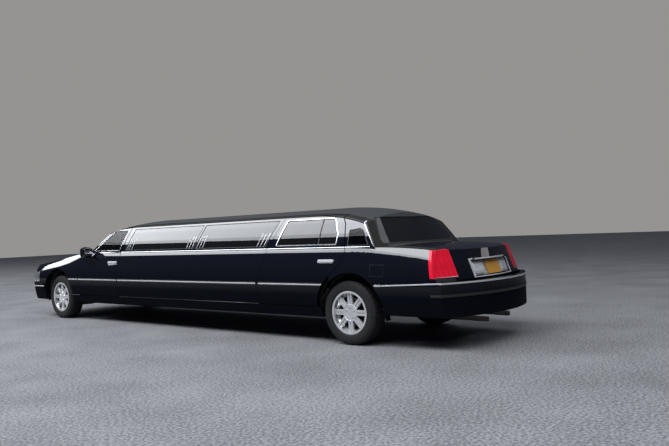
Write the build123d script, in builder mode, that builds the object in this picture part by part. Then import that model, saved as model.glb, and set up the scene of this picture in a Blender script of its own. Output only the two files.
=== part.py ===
"""A stretch limousine with four doors, a long closed middle section, a hood, a boot lid and four road wheels.

Sizes are in millimetres. +Z is up, the nose points to -Y, and the car's left side is +X.
The origin is on the ground, midway between the nose and the tail.
"""
from build123d import *
from math import cos, hypot, radians, sin
import os

os.makedirs("parts", exist_ok=True)

# Overall lengths along the car.
FRONT_OVERHANG = 1030.0
WHEELBASE = 6040.0
REAR_OVERHANG = 1450.0
LENGTH = FRONT_OVERHANG + WHEELBASE + REAR_OVERHANG
NOSE_Y = -LENGTH / 2
TAIL_Y = LENGTH / 2
FRONT_AXLE_Y = NOSE_Y + FRONT_OVERHANG
REAR_AXLE_Y = TAIL_Y - REAR_OVERHANG

# The body's cross-section: half widths and heights.
SILL_Z = 285.0
SILL_HALF = 918.0
WAIST_Z = 650.0
WAIST_HALF = 993.0
BELT_Z = 1045.0
BELT_HALF = 905.0
RAIL_HALF = 735.0
RAIL_Z = 1425.0
CABIN_SIDE_RADIUS = 1500.0
ROOF_Z = 1518.0
RAIL_ROUND = 40.0

# Walls and gaps.
SIDE_WALL = 100.0
TOP_WALL = 40.0
END_WALL = 60.0
CABIN_WALL = 32.0
GLASS = 6.0
GLASS_SINK = 2.0
SEAT_GAP = 0.3
PANEL_GAP = 6.0
SWING_GAP = 14.0
FAR = 3000.0
INBOARD = 480.0
CEILING_HALF = 620.0

# Road wheels.
TYRE_RADIUS = 351.0
TYRE_HALF_WIDTH = 112.0
BEAD_RADIUS = 219.0
FLANGE_RADIUS = 235.0
RIM_HALF_WIDTH = 103.0
SPOKES = 8
CAP_RADIUS = 97.0
FRONT_TRACK = 1610.0
REAR_TRACK = 1666.0
AXLE_Z = TYRE_RADIUS
SPINDLE_RADIUS = 28.0
RUNNING_FIT = 0.3
STEER_INSET = 70.0

# Wheel arches: place behind each axle, height and radius of each round cut.
FRONT_ARCH = (30.0, 380.0, 438.0)
REAR_ARCH = (50.0, 360.0, 425.0)

# The lower body's sections. Columns: distance behind the axle, waist narrower by,
# shoulder in from the waist, shoulder above the belt, crown of the top.
SHOULDER_IN = WAIST_HALF - BELT_HALF
PLAIN_CROWN = 20.0
FRONT_ROWS = [
    (-1180.0, 74.0, 110.0, -330.0, 20.0),
    (-1000.0, 52.0, 105.0, -225.0, 30.0),
    (-800.0, 32.0, 103.0, -177.0, 38.0),
    (-400.0, 10.0, 103.0, -130.0, 45.0),
    (0.0, 3.0, 100.0, -88.0, 46.0),
    (480.0, 0.0, 91.0, -24.0, 32.0),
    (670.0, 0.0, SHOULDER_IN, -3.0, 23.0),
    (850.0, 0.0, SHOULDER_IN, 0.0, PLAIN_CROWN),
    (1100.0, 0.0, SHOULDER_IN, 0.0, PLAIN_CROWN),
]
PLAIN_ROW = (0.0, 0.0, SHOULDER_IN, 0.0, PLAIN_CROWN)
MIDDLE_START_Y = FRONT_AXLE_Y + 480.0
REAR_ROWS = [
    (-440.0, 0.0, SHOULDER_IN, 0.0, PLAIN_CROWN),
    (-220.0, 0.0, SHOULDER_IN, 0.0, PLAIN_CROWN),
    (0.0, 0.0, SHOULDER_IN, 0.0, PLAIN_CROWN),
    (350.0, 1.0, 95.0, 2.0, 24.0),
    (800.0, 15.0, 106.0, -17.0, 26.0),
    (1130.0, 43.0, 112.0, -60.0, 22.0),
    (1330.0, 66.0, 120.0, -110.0, 15.0),
    (1500.0, 88.0, 128.0, -165.0, 10.0),
]

# The roof's crown falls away in a round sweep in front of and behind its level middle.
ROOF_SWEEP = 3000.0
ROOF_SWEEP_ARC = 28.0
ROOF_FRONT_Y = FRONT_AXLE_Y + 1930.0
ROOF_REAR_Y = REAR_AXLE_Y - 580.0

# Ends of the body and of the cabin in plan. Columns: height at which the corners stand there,
# the corners' place along the car, bow of the middle past them, run along the car for each unit of height.
NOSE = (WAIST_Z, NOSE_Y + 315.0, 270.0, 0.2)
TAIL = (WAIST_Z, TAIL_Y - 358.0, 219.0, -0.37)
FRONT_GUARD = (WAIST_Z, NOSE_Y + 290.0, 290.0, 0.0)
REAR_GUARD = (WAIST_Z, TAIL_Y - 314.0, 314.0, 0.0)
SCREEN = (BELT_Z, FRONT_AXLE_Y + 930.0, 200.0, 1.54)
BACKLIGHT = (BELT_Z, REAR_AXLE_Y + 335.0, 108.0, -0.75)

SIDES = (("left", 1), ("right", -1))


def label_and_write(piece, name):
    """Name a finished piece and write it to its own file."""
    piece.part.label = name
    export_step(piece.part, f"parts/{name}.step")


def lower_section(y, row, side_in, top_in, drop):
    """One cross-section of the body below the belt."""
    waist = WAIST_HALF - row[1] - side_in
    shoulder = WAIST_HALF - row[1] - row[2] - side_in
    shoulder_z = BELT_Z + row[3] - top_in
    sill = SILL_HALF - row[1] - side_in
    sill_z = SILL_Z - drop
    with BuildSketch(Plane.XZ.offset(-y)) as section:
        with BuildLine():
            Line((0, sill_z), (sill, sill_z))
            TangentArc((waist, WAIST_Z), (sill, sill_z), tangent=(0, -1))
            TangentArc((waist, WAIST_Z), (shoulder, shoulder_z), tangent=(0, 1))
            ThreePointArc((shoulder, shoulder_z), (0, shoulder_z + row[4]), (-shoulder, shoulder_z))
            TangentArc((-waist, WAIST_Z), (-shoulder, shoulder_z), tangent=(0, 1))
            TangentArc((-waist, WAIST_Z), (-sill, sill_z), tangent=(0, -1))
            Line((-sill, sill_z), (0, sill_z))
        make_face()
    return section.sketch


def end_prism(end, inset, direction):
    """All space behind a bowed, leaning end: direction -1 is a front end, +1 a rear end."""
    height, corner_y, bow, lean = end
    low_z = SILL_Z - SIDE_WALL
    rise = ROOF_Z + SIDE_WALL - low_z
    edge = corner_y - direction * inset * hypot(1.0, lean) - lean * (height - low_z)
    back = -direction * FAR * 4
    half = WAIST_HALF
    with BuildPart() as prism:
        with BuildSketch(Plane.XY.offset(low_z)):
            with BuildLine():
                ThreePointArc((-half, edge), (0, edge + direction * bow), (half, edge))
                Polyline((half, edge), (half + FAR, edge), (half + FAR, back), (-half - FAR, back),
                         (-half - FAR, edge), (-half, edge))
            make_face()
        extrude(amount=rise * hypot(1.0, lean), dir=(0, lean, 1))
    return prism.part


def front_form(side_in, top_in, end_in, drop=0.0, nose=NOSE):
    """The body below the belt in front of the doors, inset by the given walls."""
    with BuildPart() as form:
        for row in FRONT_ROWS:
            add(lower_section(FRONT_AXLE_Y + row[0], row, side_in, top_in, drop))
        loft()
        add(end_prism(nose, end_in, -1), mode=Mode.INTERSECT)
    return form.part


def middle_form(side_in, top_in, drop=0.0):
    """The plain middle of the body below the belt, from the front doors to the rear wheels."""
    with BuildPart() as form:
        add(lower_section(MIDDLE_START_Y, PLAIN_ROW, side_in, top_in, drop))
        extrude(amount=REAR_AXLE_Y - MIDDLE_START_Y, dir=(0, 1, 0))
    return form.part


def rear_form(side_in, top_in, end_in, drop=0.0, tail=TAIL):
    """The body below the belt behind the rear doors, inset by the given walls."""
    with BuildPart() as form:
        for row in REAR_ROWS:
            add(lower_section(REAR_AXLE_Y + row[0], row, side_in, top_in, drop))
        loft()
        add(end_prism(tail, end_in, 1), mode=Mode.INTERSECT)
    return form.part


def roof_crown(inset):
    """All space under the roof's crowned top, wider and longer than the cabin."""
    top = ROOF_Z - inset
    rise = ROOF_Z - RAIL_Z
    crown_radius = (RAIL_HALF**2 + rise**2) / (2 * rise)
    half = BELT_HALF + SIDE_WALL
    fall = crown_radius - (crown_radius**2 - half**2) ** 0.5
    with BuildPart() as crown:
        with BuildSketch(Plane.XZ.offset(-ROOF_FRONT_Y)) as section:
            with BuildLine():
                ThreePointArc((-half, top - fall), (0, top), (half, top - fall))
                Polyline((half, top - fall), (half, BELT_Z - 2 * SIDE_WALL), (-half, BELT_Z - 2 * SIDE_WALL),
                         (-half, top - fall))
            make_face()
        extrude(amount=-(ROOF_REAR_Y - ROOF_FRONT_Y))
        for y, turn in ((ROOF_FRONT_Y, 1), (ROOF_REAR_Y, -1)):
            pivot = Axis((0, y, ROOF_Z - ROOF_SWEEP), (turn, 0, 0))
            add(section.sketch.moved(Location((0, y - ROOF_FRONT_Y, 0))))
            revolve(axis=pivot, revolution_arc=ROOF_SWEEP_ARC)
    return crown.part


def cabin_side_x(z, inset=0.0):
    """Half width of the cabin's bowed side at a height above the belt."""
    run = BELT_HALF - RAIL_HALF
    rise = RAIL_Z - BELT_Z
    slant = hypot(run, rise)
    depth = (CABIN_SIDE_RADIUS**2 - (slant / 2) ** 2) ** 0.5
    centre_x = (BELT_HALF + RAIL_HALF) / 2 - depth * rise / slant
    centre_z = (BELT_Z + RAIL_Z) / 2 - depth * run / slant
    return centre_x + (CABIN_SIDE_RADIUS**2 - (z - centre_z) ** 2) ** 0.5 - inset


def cabin_form(inset, rail_round=0.0):
    """The cabin above the belt as one closed form with bowed sides, inset by the given wall."""
    foot_z = BELT_Z - SIDE_WALL
    peak_z = ROOF_Z + SIDE_WALL
    belt = BELT_HALF - inset
    rail = RAIL_HALF - inset
    peak = cabin_side_x(peak_z, inset)
    with BuildPart() as form:
        with BuildSketch(Plane.XZ.offset(-(FRONT_AXLE_Y + 300.0))):
            with BuildLine():
                ThreePointArc((belt, BELT_Z), (rail, RAIL_Z), (peak, peak_z))
                Line((peak, peak_z), (-peak, peak_z))
                ThreePointArc((-peak, peak_z), (-rail, RAIL_Z), (-belt, BELT_Z))
                Polyline((-belt, BELT_Z), (-belt, foot_z), (belt, foot_z), (belt, BELT_Z))
            make_face()
        extrude(amount=-(WHEELBASE + 300.0))
        add(roof_crown(inset), mode=Mode.INTERSECT)
        if rail_round:
            rails = [e for e in form.edges() if abs(abs(e.center().X) - RAIL_HALF) < SIDE_WALL
                     and e.center().Z > RAIL_Z - SIDE_WALL and e.bounding_box().size.Y > SIDE_WALL]
            fillet(rails, rail_round)
        add(end_prism(SCREEN, inset, -1), mode=Mode.INTERSECT)
        add(end_prism(BACKLIGHT, inset, 1), mode=Mode.INTERSECT)
    return form.part


def kept_inside(body, region):
    """The share of a body that lies inside a region."""
    with BuildPart() as piece:
        add(body)
        add(region, mode=Mode.INTERSECT)
    return piece.part


def side_prism(points, side, grow=0.0, near=INBOARD, rounds=()):
    """A prism over a side-view outline of (y, z) points, on one side of the car from near outwards."""
    with BuildPart() as prism:
        with BuildSketch(Plane.YZ.offset(side * near)) as outline:
            with BuildLine():
                Polyline(*points, close=True)
            make_face()
            for y, z, radius in rounds:
                corner = outline.vertices().sort_by_distance((y, z, 0))[0]
                fillet(corner, radius)
            if grow:
                offset(amount=grow, kind=Kind.INTERSECTION)
        extrude(amount=side * FAR)
    return prism.part


def across_prism(points, grow=0.0):
    """A prism over a side-view outline, right across the car."""
    with BuildPart() as prism:
        with BuildSketch(Plane.YZ) as outline:
            with BuildLine():
                Polyline(*points, close=True)
            make_face()
            if grow:
                offset(amount=grow, kind=Kind.INTERSECTION)
        extrude(amount=FAR, both=True)
    return prism.part


def end_view_prism(points, start_y, reach, grow=0.0, round_radius=0.0):
    """A prism over an end-view outline of (x, z) points, from start_y along the car."""
    with BuildPart() as prism:
        with BuildSketch(Plane.XZ.offset(-start_y)) as outline:
            with BuildLine():
                Polyline(*points, close=True)
            make_face()
            if round_radius:
                fillet(outline.vertices(), round_radius)
            if grow:
                offset(amount=grow, kind=Kind.INTERSECTION)
        extrude(amount=-reach)
    return prism.part


def plan_view_prism(points, low_z, high_z, grow=0.0):
    """A prism over a plan outline of (x, y) points."""
    with BuildPart() as prism:
        with BuildSketch(Plane.XY.offset(low_z)):
            with BuildLine():
                Polyline(*points, close=True)
            make_face()
            if grow:
                offset(amount=grow, kind=Kind.INTERSECTION)
        extrude(amount=high_z - low_z)
    return prism.part


def round_bar(centre, radius, start_x, end_x):
    """A round bar along X about a (y, z) centre."""
    with BuildPart() as bar:
        with BuildSketch(Plane.YZ.offset(start_x)):
            with Locations(centre):
                Circle(radius)
        extrude(amount=end_x - start_x)
    return bar.part


# Panel seams in the side view, as (y, z) points. Doors first, since the fixed panels stop at them.
FRONT_DOOR_FRONT_Y = FRONT_AXLE_Y + 673.0
FRONT_DOOR_REAR_Y = FRONT_AXLE_Y + 1750.0
REAR_DOOR_FRONT_Y = REAR_AXLE_Y - 1350.0
REAR_DOOR_REAR_Y = REAR_AXLE_Y - 42.0
DOOR_FOOT_Z = 411.0
DOOR_TOP_Z = RAIL_Z - 7.0
PILLAR_FOOT_Z = BELT_Z + 3.0
WINDOW_FOOT_Z = BELT_Z + 35.0
WINDOW_TOP_Z = RAIL_Z - 35.0


def front_door_outline(trim=0.0):
    """The front door's edge, with its rear edge above the belt moved forwards by trim."""
    return [
        (FRONT_DOOR_FRONT_Y, DOOR_FOOT_Z), (FRONT_DOOR_FRONT_Y, BELT_Z - 55.0),
        (FRONT_AXLE_Y + 950.0, BELT_Z + 3.0), (FRONT_AXLE_Y + 1425.0, RAIL_Z - 50.0),
        (FRONT_AXLE_Y + 1520.0, DOOR_TOP_Z), (FRONT_DOOR_REAR_Y + 95.0 - trim, DOOR_TOP_Z),
        (FRONT_DOOR_REAR_Y - trim, BELT_Z), (FRONT_DOOR_REAR_Y, WAIST_Z + 150.0),
        (FRONT_DOOR_REAR_Y, DOOR_FOOT_Z),
    ]


def rear_door_outline(trim=0.0):
    """The rear door's edge, with its rear edge above the belt moved forwards by trim."""
    return [
        (REAR_DOOR_FRONT_Y, DOOR_FOOT_Z), (REAR_DOOR_FRONT_Y + 20.0, WAIST_Z),
        (REAR_DOOR_FRONT_Y + 100.0, BELT_Z - 40.0), (REAR_DOOR_FRONT_Y + 297.0, DOOR_TOP_Z),
        (REAR_DOOR_REAR_Y - 132.0 - trim, DOOR_TOP_Z), (REAR_DOOR_REAR_Y - 60.0 - trim, DOOR_TOP_Z - 106.0),
        (REAR_DOOR_REAR_Y - 18.0 - trim, DOOR_TOP_Z - 285.0), (REAR_DOOR_REAR_Y, BELT_Z - 54.0),
        (REAR_DOOR_REAR_Y - 50.0, BELT_Z - 176.0), (REAR_DOOR_REAR_Y - 140.0, BELT_Z - 249.0),
        (REAR_DOOR_REAR_Y - 190.0, BELT_Z - 291.0), (REAR_DOOR_REAR_Y - 190.0, DOOR_FOOT_Z),
    ]


FRONT_WINDOW = [
    (FRONT_AXLE_Y + 1020.0, WINDOW_FOOT_Z), (FRONT_AXLE_Y + 1452.0, WINDOW_TOP_Z - 5.0),
    (FRONT_AXLE_Y + 1530.0, WINDOW_TOP_Z), (FRONT_DOOR_REAR_Y + 40.0, WINDOW_TOP_Z),
    (FRONT_DOOR_REAR_Y - 50.0, WINDOW_FOOT_Z),
]
REAR_WINDOW = [
    (REAR_DOOR_FRONT_Y + 245.0, WINDOW_FOOT_Z), (REAR_DOOR_FRONT_Y + 345.0, WINDOW_TOP_Z),
    (REAR_DOOR_REAR_Y - 220.0, WINDOW_TOP_Z), (REAR_DOOR_REAR_Y - 128.0, WINDOW_TOP_Z - 190.0),
    (REAR_DOOR_REAR_Y - 128.0, WINDOW_FOOT_Z),
]
SIDE_PANE_LEAN = 100.0
SIDE_PANE_GAP = 30.0
PANE_SPLIT_Y = 180.0
FIRST_PANE = [
    (FRONT_DOOR_REAR_Y + 95.0, WINDOW_FOOT_Z), (FRONT_DOOR_REAR_Y + 190.0, WINDOW_TOP_Z),
    (PANE_SPLIT_Y + SIDE_PANE_LEAN, WINDOW_TOP_Z), (PANE_SPLIT_Y, WINDOW_FOOT_Z),
]
SECOND_PANE = [
    (PANE_SPLIT_Y + SIDE_PANE_GAP, WINDOW_FOOT_Z),
    (PANE_SPLIT_Y + SIDE_PANE_GAP + SIDE_PANE_LEAN, WINDOW_TOP_Z),
    (REAR_DOOR_FRONT_Y + 220.0, WINDOW_TOP_Z), (REAR_DOOR_FRONT_Y + 75.0, WINDOW_FOOT_Z),
]
OPERA_PANE = [
    (REAR_AXLE_Y - 20.0, WINDOW_FOOT_Z - 10.0), (REAR_AXLE_Y - 25.0, BELT_Z + 200.0),
    (REAR_AXLE_Y + 120.0, BELT_Z + 217.0), (REAR_AXLE_Y + 172.0, BELT_Z + 190.0),
    (REAR_AXLE_Y + 272.0, WINDOW_FOOT_Z - 10.0),
]
SCREEN_OPENING = [(-775.0, BELT_Z + 45.0), (775.0, BELT_Z + 45.0), (625.0, RAIL_Z - 12.0),
                  (-625.0, RAIL_Z - 12.0)]
BACKLIGHT_OPENING = [(-790.0, BELT_Z + 30.0), (790.0, BELT_Z + 30.0), (610.0, BELT_Z + 328.0),
                     (-610.0, BELT_Z + 328.0)]

# Hood, cowl and front end.
HOOD_REAR_Y = FRONT_AXLE_Y + 630.0
HOOD_PLAN = [
    (-780.0, HOOD_REAR_Y), (780.0, HOOD_REAR_Y), (765.0, FRONT_AXLE_Y), (720.0, FRONT_AXLE_Y - 670.0),
    (700.0, NOSE_Y - 140.0), (-700.0, NOSE_Y - 140.0), (-720.0, FRONT_AXLE_Y - 670.0), (-765.0, FRONT_AXLE_Y),
]
LAMP_FOOT_Z = 600.0
LAMP_TOP_Z = 765.0
LAMP_REAR_Y = FRONT_AXLE_Y - 570.0
LAMP_INNER = 355.0
GUARD_REAR_Y = FRONT_AXLE_Y - 410.0
GUARD_FOOT_Z = 300.0
COWL_FOOT_Z = BELT_Z - 60.0
OUT_Y = LENGTH

# Boot lid and rear end.
LID_FRONT_Y = REAR_AXLE_Y + 478.0
LID_HALF = 690.0
LID_FOOT_Z = 700.0
TAIL_GUARD_TOP_Z = 690.0
TAIL_GUARD_FOOT_Z = 345.0
TAIL_GUARD_FRONT_Y = REAR_AXLE_Y + 482.0
TAIL_LAMP_INNER = 650.0
TAIL_LAMP = [
    (REAR_AXLE_Y + 1020.0, BELT_Z + 60.0), (REAR_AXLE_Y + 1085.0, LID_FOOT_Z + 22.0),
    (OUT_Y, LID_FOOT_Z + 22.0), (OUT_Y, BELT_Z + 60.0),
]

# The outer and inner forms, and the walls between them.
front_outside = front_form(0.0, 0.0, 0.0)
front_inside = front_form(SIDE_WALL, TOP_WALL, END_WALL, drop=SIDE_WALL)
middle_outside = middle_form(0.0, 0.0)
middle_inside = middle_form(SIDE_WALL, TOP_WALL, drop=SIDE_WALL)
rear_outside = rear_form(0.0, 0.0, 0.0)
rear_inside = rear_form(SIDE_WALL, TOP_WALL, END_WALL, drop=SIDE_WALL)
cabin_outside = cabin_form(0.0, RAIL_ROUND)
cabin_inside = cabin_form(CABIN_WALL)
FRONT_ARCH_CENTRE = (FRONT_AXLE_Y + FRONT_ARCH[0], FRONT_ARCH[1])
REAR_ARCH_CENTRE = (REAR_AXLE_Y + REAR_ARCH[0], REAR_ARCH[1])

with BuildPart() as front_wall:
    add(front_outside)
    add(front_inside, mode=Mode.SUBTRACT)
    add(cabin_inside, mode=Mode.SUBTRACT)

with BuildPart() as rear_wall:
    add(rear_outside)
    add(rear_inside, mode=Mode.SUBTRACT)

with BuildPart() as middle_shell:
    add(middle_outside)
    add(cabin_outside)
    add(middle_inside, mode=Mode.SUBTRACT)
    add(cabin_inside, mode=Mode.SUBTRACT)

with BuildPart() as rear_shell:
    add(rear_outside)
    add(cabin_outside)
    add(rear_inside, mode=Mode.SUBTRACT)
    add(cabin_inside, mode=Mode.SUBTRACT)

with BuildPart() as cabin_wall:
    add(cabin_outside)
    add(cabin_inside, mode=Mode.SUBTRACT)

# The spaces inside the walls, which bound what fits there.
WALL_AND_GAP = SIDE_WALL + SEAT_GAP
front_space = front_form(WALL_AND_GAP, TOP_WALL + SEAT_GAP, END_WALL + SEAT_GAP, drop=SIDE_WALL)
middle_space = middle_form(WALL_AND_GAP, TOP_WALL + SEAT_GAP, drop=SIDE_WALL)
rear_space = rear_form(WALL_AND_GAP, TOP_WALL + SEAT_GAP, END_WALL + SEAT_GAP, drop=SIDE_WALL)

# The walls in halves, since most panels lie on one side of the car.
front_half = {}
middle_half = {}
rear_half = {}
for side_name, side in SIDES:
    half_points = [(0.0, -OUT_Y), (side * FAR, -OUT_Y), (side * FAR, OUT_Y), (0.0, OUT_Y)]
    half_space = plan_view_prism(half_points, 0.0, ROOF_Z + SIDE_WALL)
    front_half[side] = kept_inside(front_wall.part, half_space)
    middle_half[side] = kept_inside(middle_shell.part, half_space)
    rear_half[side] = kept_inside(rear_shell.part, half_space)

# The thin skin that all the glass is cut from.
with BuildPart() as glass_skin:
    add(cabin_form(GLASS_SINK))
    add(cabin_form(GLASS_SINK + GLASS), mode=Mode.SUBTRACT)

# Doors: outline, window, the window's rounded corners, and the handle's middle along the car.
DOORS = (
    ("front", front_door_outline, FRONT_WINDOW, (), FRONT_DOOR_REAR_Y - 150.0),
    ("rear", rear_door_outline, REAR_WINDOW, ((REAR_DOOR_REAR_Y - 220.0, WINDOW_TOP_Z, 70.0),),
     REAR_DOOR_REAR_Y - 240.0),
)
ARCH_LIP = 55.0
MOULDING_FOOT_Z = 634.0
MOULDING_TOP_Z = 670.0
MOULDING_PROUD = 6.0
MOULDING_ROOT = 12.0
MOULDING_END = 10.0
HANDLE_Z = 912.0
HANDLE_LONG = 224.0
HANDLE_TALL = 46.0
HANDLE_PROUD = 15.0
HANDLE_ROOT = 20.0
HANDLE_ROUND = 20.0


def body_side_x(z):
    """Half width of the plain middle of the body at a height between the waist and the belt."""
    radius = (SHOULDER_IN**2 + (BELT_Z - WAIST_Z) ** 2) / (2 * SHOULDER_IN)
    return WAIST_HALF - radius + (radius**2 - (z - WAIST_Z) ** 2) ** 0.5


def door_handle(side, centre_y):
    """A flush pull handle in its rounded plate, with a finger slot under the grip."""
    slope = (body_side_x(HANDLE_Z - 1.0) - body_side_x(HANDLE_Z + 1.0)) / 2
    face = Plane(origin=(side * body_side_x(HANDLE_Z), centre_y, HANDLE_Z), x_dir=(0, 1, 0),
                 z_dir=(side, 0, slope))
    with BuildPart() as handle:
        with BuildSketch(face.offset(-HANDLE_ROOT)):
            RectangleRounded(HANDLE_LONG, HANDLE_TALL, HANDLE_ROUND)
        extrude(amount=HANDLE_ROOT + HANDLE_PROUD / 2)
        with BuildSketch(face):
            RectangleRounded(HANDLE_LONG - HANDLE_ROUND, HANDLE_TALL - HANDLE_ROUND, HANDLE_ROUND / 2)
        extrude(amount=HANDLE_PROUD)
    return handle.part


# The raised moulding along the waist of the doors and the fixed sides.
with BuildPart() as moulding_band:
    with Locations((0, 0, (MOULDING_FOOT_Z + MOULDING_TOP_Z) / 2)):
        Box(4 * WAIST_HALF, 2 * LENGTH, MOULDING_TOP_Z - MOULDING_FOOT_Z)
    add(middle_form(-MOULDING_PROUD, 0.0), mode=Mode.INTERSECT)
    add(middle_form(MOULDING_ROOT, 0.0), mode=Mode.SUBTRACT)


def moulding(outline, side):
    """The stretch of the moulding that lies on one panel."""
    return kept_inside(moulding_band.part, side_prism(outline, side, grow=-MOULDING_END))


for side_name, side in SIDES:
    for place, outline, window, rounds, handle_y in DOORS:
        with BuildPart() as door:
            add(middle_half[side])
            add(side_prism(outline(SWING_GAP - PANEL_GAP), side, near=CEILING_HALF), mode=Mode.INTERSECT)
            add(side_prism(window, side, rounds=rounds), mode=Mode.SUBTRACT)
            if place == "front":
                cowl_end = [(0.0, HOOD_REAR_Y), (side * (BELT_HALF - SIDE_WALL), HOOD_REAR_Y),
                            (side * (BELT_HALF - SIDE_WALL), SCREEN[1]), (0.0, SCREEN[1])]
                add(plan_view_prism(cowl_end, COWL_FOOT_Z, PILLAR_FOOT_Z), mode=Mode.SUBTRACT)
            add(moulding(outline(), side))
            add(door_handle(side, handle_y))
            if place == "rear":
                add(round_bar(REAR_ARCH_CENTRE, REAR_ARCH[2] + ARCH_LIP, side * INBOARD, side * FAR),
                    mode=Mode.SUBTRACT)
        label_and_write(door, f"door_{place}_{side_name}")

        with BuildPart() as pane:
            add(glass_skin.part)
            add(side_prism(window, side, grow=-SEAT_GAP, rounds=rounds), mode=Mode.INTERSECT)
        label_and_write(pane, f"door_glass_{place}_{side_name}")

FENDER_OUTLINE = [
    (-OUT_Y, SILL_Z - 50.0), (FRONT_DOOR_FRONT_Y, SILL_Z - 50.0), (FRONT_DOOR_FRONT_Y, COWL_FOOT_Z),
    (HOOD_REAR_Y + PANEL_GAP, COWL_FOOT_Z), (HOOD_REAR_Y + PANEL_GAP, BELT_Z + 100.0),
    (-OUT_Y, BELT_Z + 100.0),
]
NOSE_CUT = [(-OUT_Y, 0.0), (GUARD_REAR_Y, 0.0), (GUARD_REAR_Y, LAMP_FOOT_Z), (LAMP_REAR_Y, LAMP_FOOT_Z),
            (LAMP_REAR_Y, LAMP_TOP_Z), (-OUT_Y, LAMP_TOP_Z)]
HEADLAMP_OUTLINE = [(-OUT_Y, LAMP_FOOT_Z), (LAMP_REAR_Y, LAMP_FOOT_Z), (LAMP_REAR_Y, LAMP_TOP_Z),
                    (-OUT_Y, LAMP_TOP_Z)]
MIDDLE_OUTLINE = [
    (FRONT_DOOR_FRONT_Y, SILL_Z - 50.0), (REAR_AXLE_Y - 350.0, SILL_Z - 50.0),
    (REAR_AXLE_Y - 350.0, DOOR_FOOT_Z - PANEL_GAP), (REAR_DOOR_FRONT_Y, DOOR_FOOT_Z - PANEL_GAP),
    (REAR_DOOR_FRONT_Y + 20.0, WAIST_Z), (REAR_DOOR_FRONT_Y + 100.0, BELT_Z - 40.0),
    (REAR_DOOR_FRONT_Y + 297.0, DOOR_TOP_Z), (FRONT_DOOR_REAR_Y + 95.0, DOOR_TOP_Z),
    (FRONT_DOOR_REAR_Y, BELT_Z), (FRONT_DOOR_REAR_Y, DOOR_FOOT_Z - PANEL_GAP),
    (FRONT_DOOR_FRONT_Y, DOOR_FOOT_Z - PANEL_GAP),
]
LONG_SIDE = [(FRONT_DOOR_REAR_Y + PANEL_GAP, DOOR_FOOT_Z), (FRONT_DOOR_REAR_Y + PANEL_GAP, BELT_Z),
             (REAR_DOOR_FRONT_Y - PANEL_GAP, BELT_Z), (REAR_DOOR_FRONT_Y - PANEL_GAP, DOOR_FOOT_Z)]
ROOF_FOOT_Z = DOOR_TOP_Z + PANEL_GAP
ROOF_OUTLINE = [
    (FRONT_AXLE_Y + 500.0, PILLAR_FOOT_Z), (FRONT_AXLE_Y + 500.0, ROOF_Z + 100.0),
    (REAR_AXLE_Y + 400.0, ROOF_Z + 100.0), (REAR_AXLE_Y + 400.0, BELT_Z + 215.0),
    (REAR_AXLE_Y - 170.0, ROOF_FOOT_Z), (FRONT_DOOR_REAR_Y + 95.0, ROOF_FOOT_Z),
    (FRONT_AXLE_Y + 1600.0, RAIL_Z - 80.0), (FRONT_AXLE_Y + 1200.0, PILLAR_FOOT_Z),
]
QUARTER_OUTLINE = [
    (REAR_AXLE_Y - 350.0, SILL_Z - 50.0), (OUT_Y, SILL_Z - 50.0), (OUT_Y, BELT_Z + 100.0),
    (REAR_AXLE_Y + 400.0, BELT_Z + 215.0), (REAR_AXLE_Y - 170.0, ROOF_FOOT_Z),
    (REAR_AXLE_Y - 350.0, ROOF_FOOT_Z),
]
TAIL_CUT = [(TAIL_GUARD_FRONT_Y, 0.0), (OUT_Y, 0.0), (OUT_Y, TAIL_GUARD_TOP_Z),
            (TAIL_GUARD_FRONT_Y, TAIL_GUARD_TOP_Z)]
LID_PLAN = [(-LID_HALF, LID_FRONT_Y), (LID_HALF, LID_FRONT_Y), (LID_HALF, OUT_Y), (-LID_HALF, OUT_Y)]
CEILING_FOOT_Z = RAIL_Z - 90.0
CEILING_PLAN = [(-CEILING_HALF, FRONT_DOOR_REAR_Y), (CEILING_HALF, FRONT_DOOR_REAR_Y),
                (CEILING_HALF, REAR_AXLE_Y + 200.0), (-CEILING_HALF, REAR_AXLE_Y + 200.0)]
DECK_PLAN = [(-LID_HALF, REAR_AXLE_Y), (LID_HALF, REAR_AXLE_Y), (LID_HALF, LID_FRONT_Y - PANEL_GAP),
             (-LID_HALF, LID_FRONT_Y - PANEL_GAP)]

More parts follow.
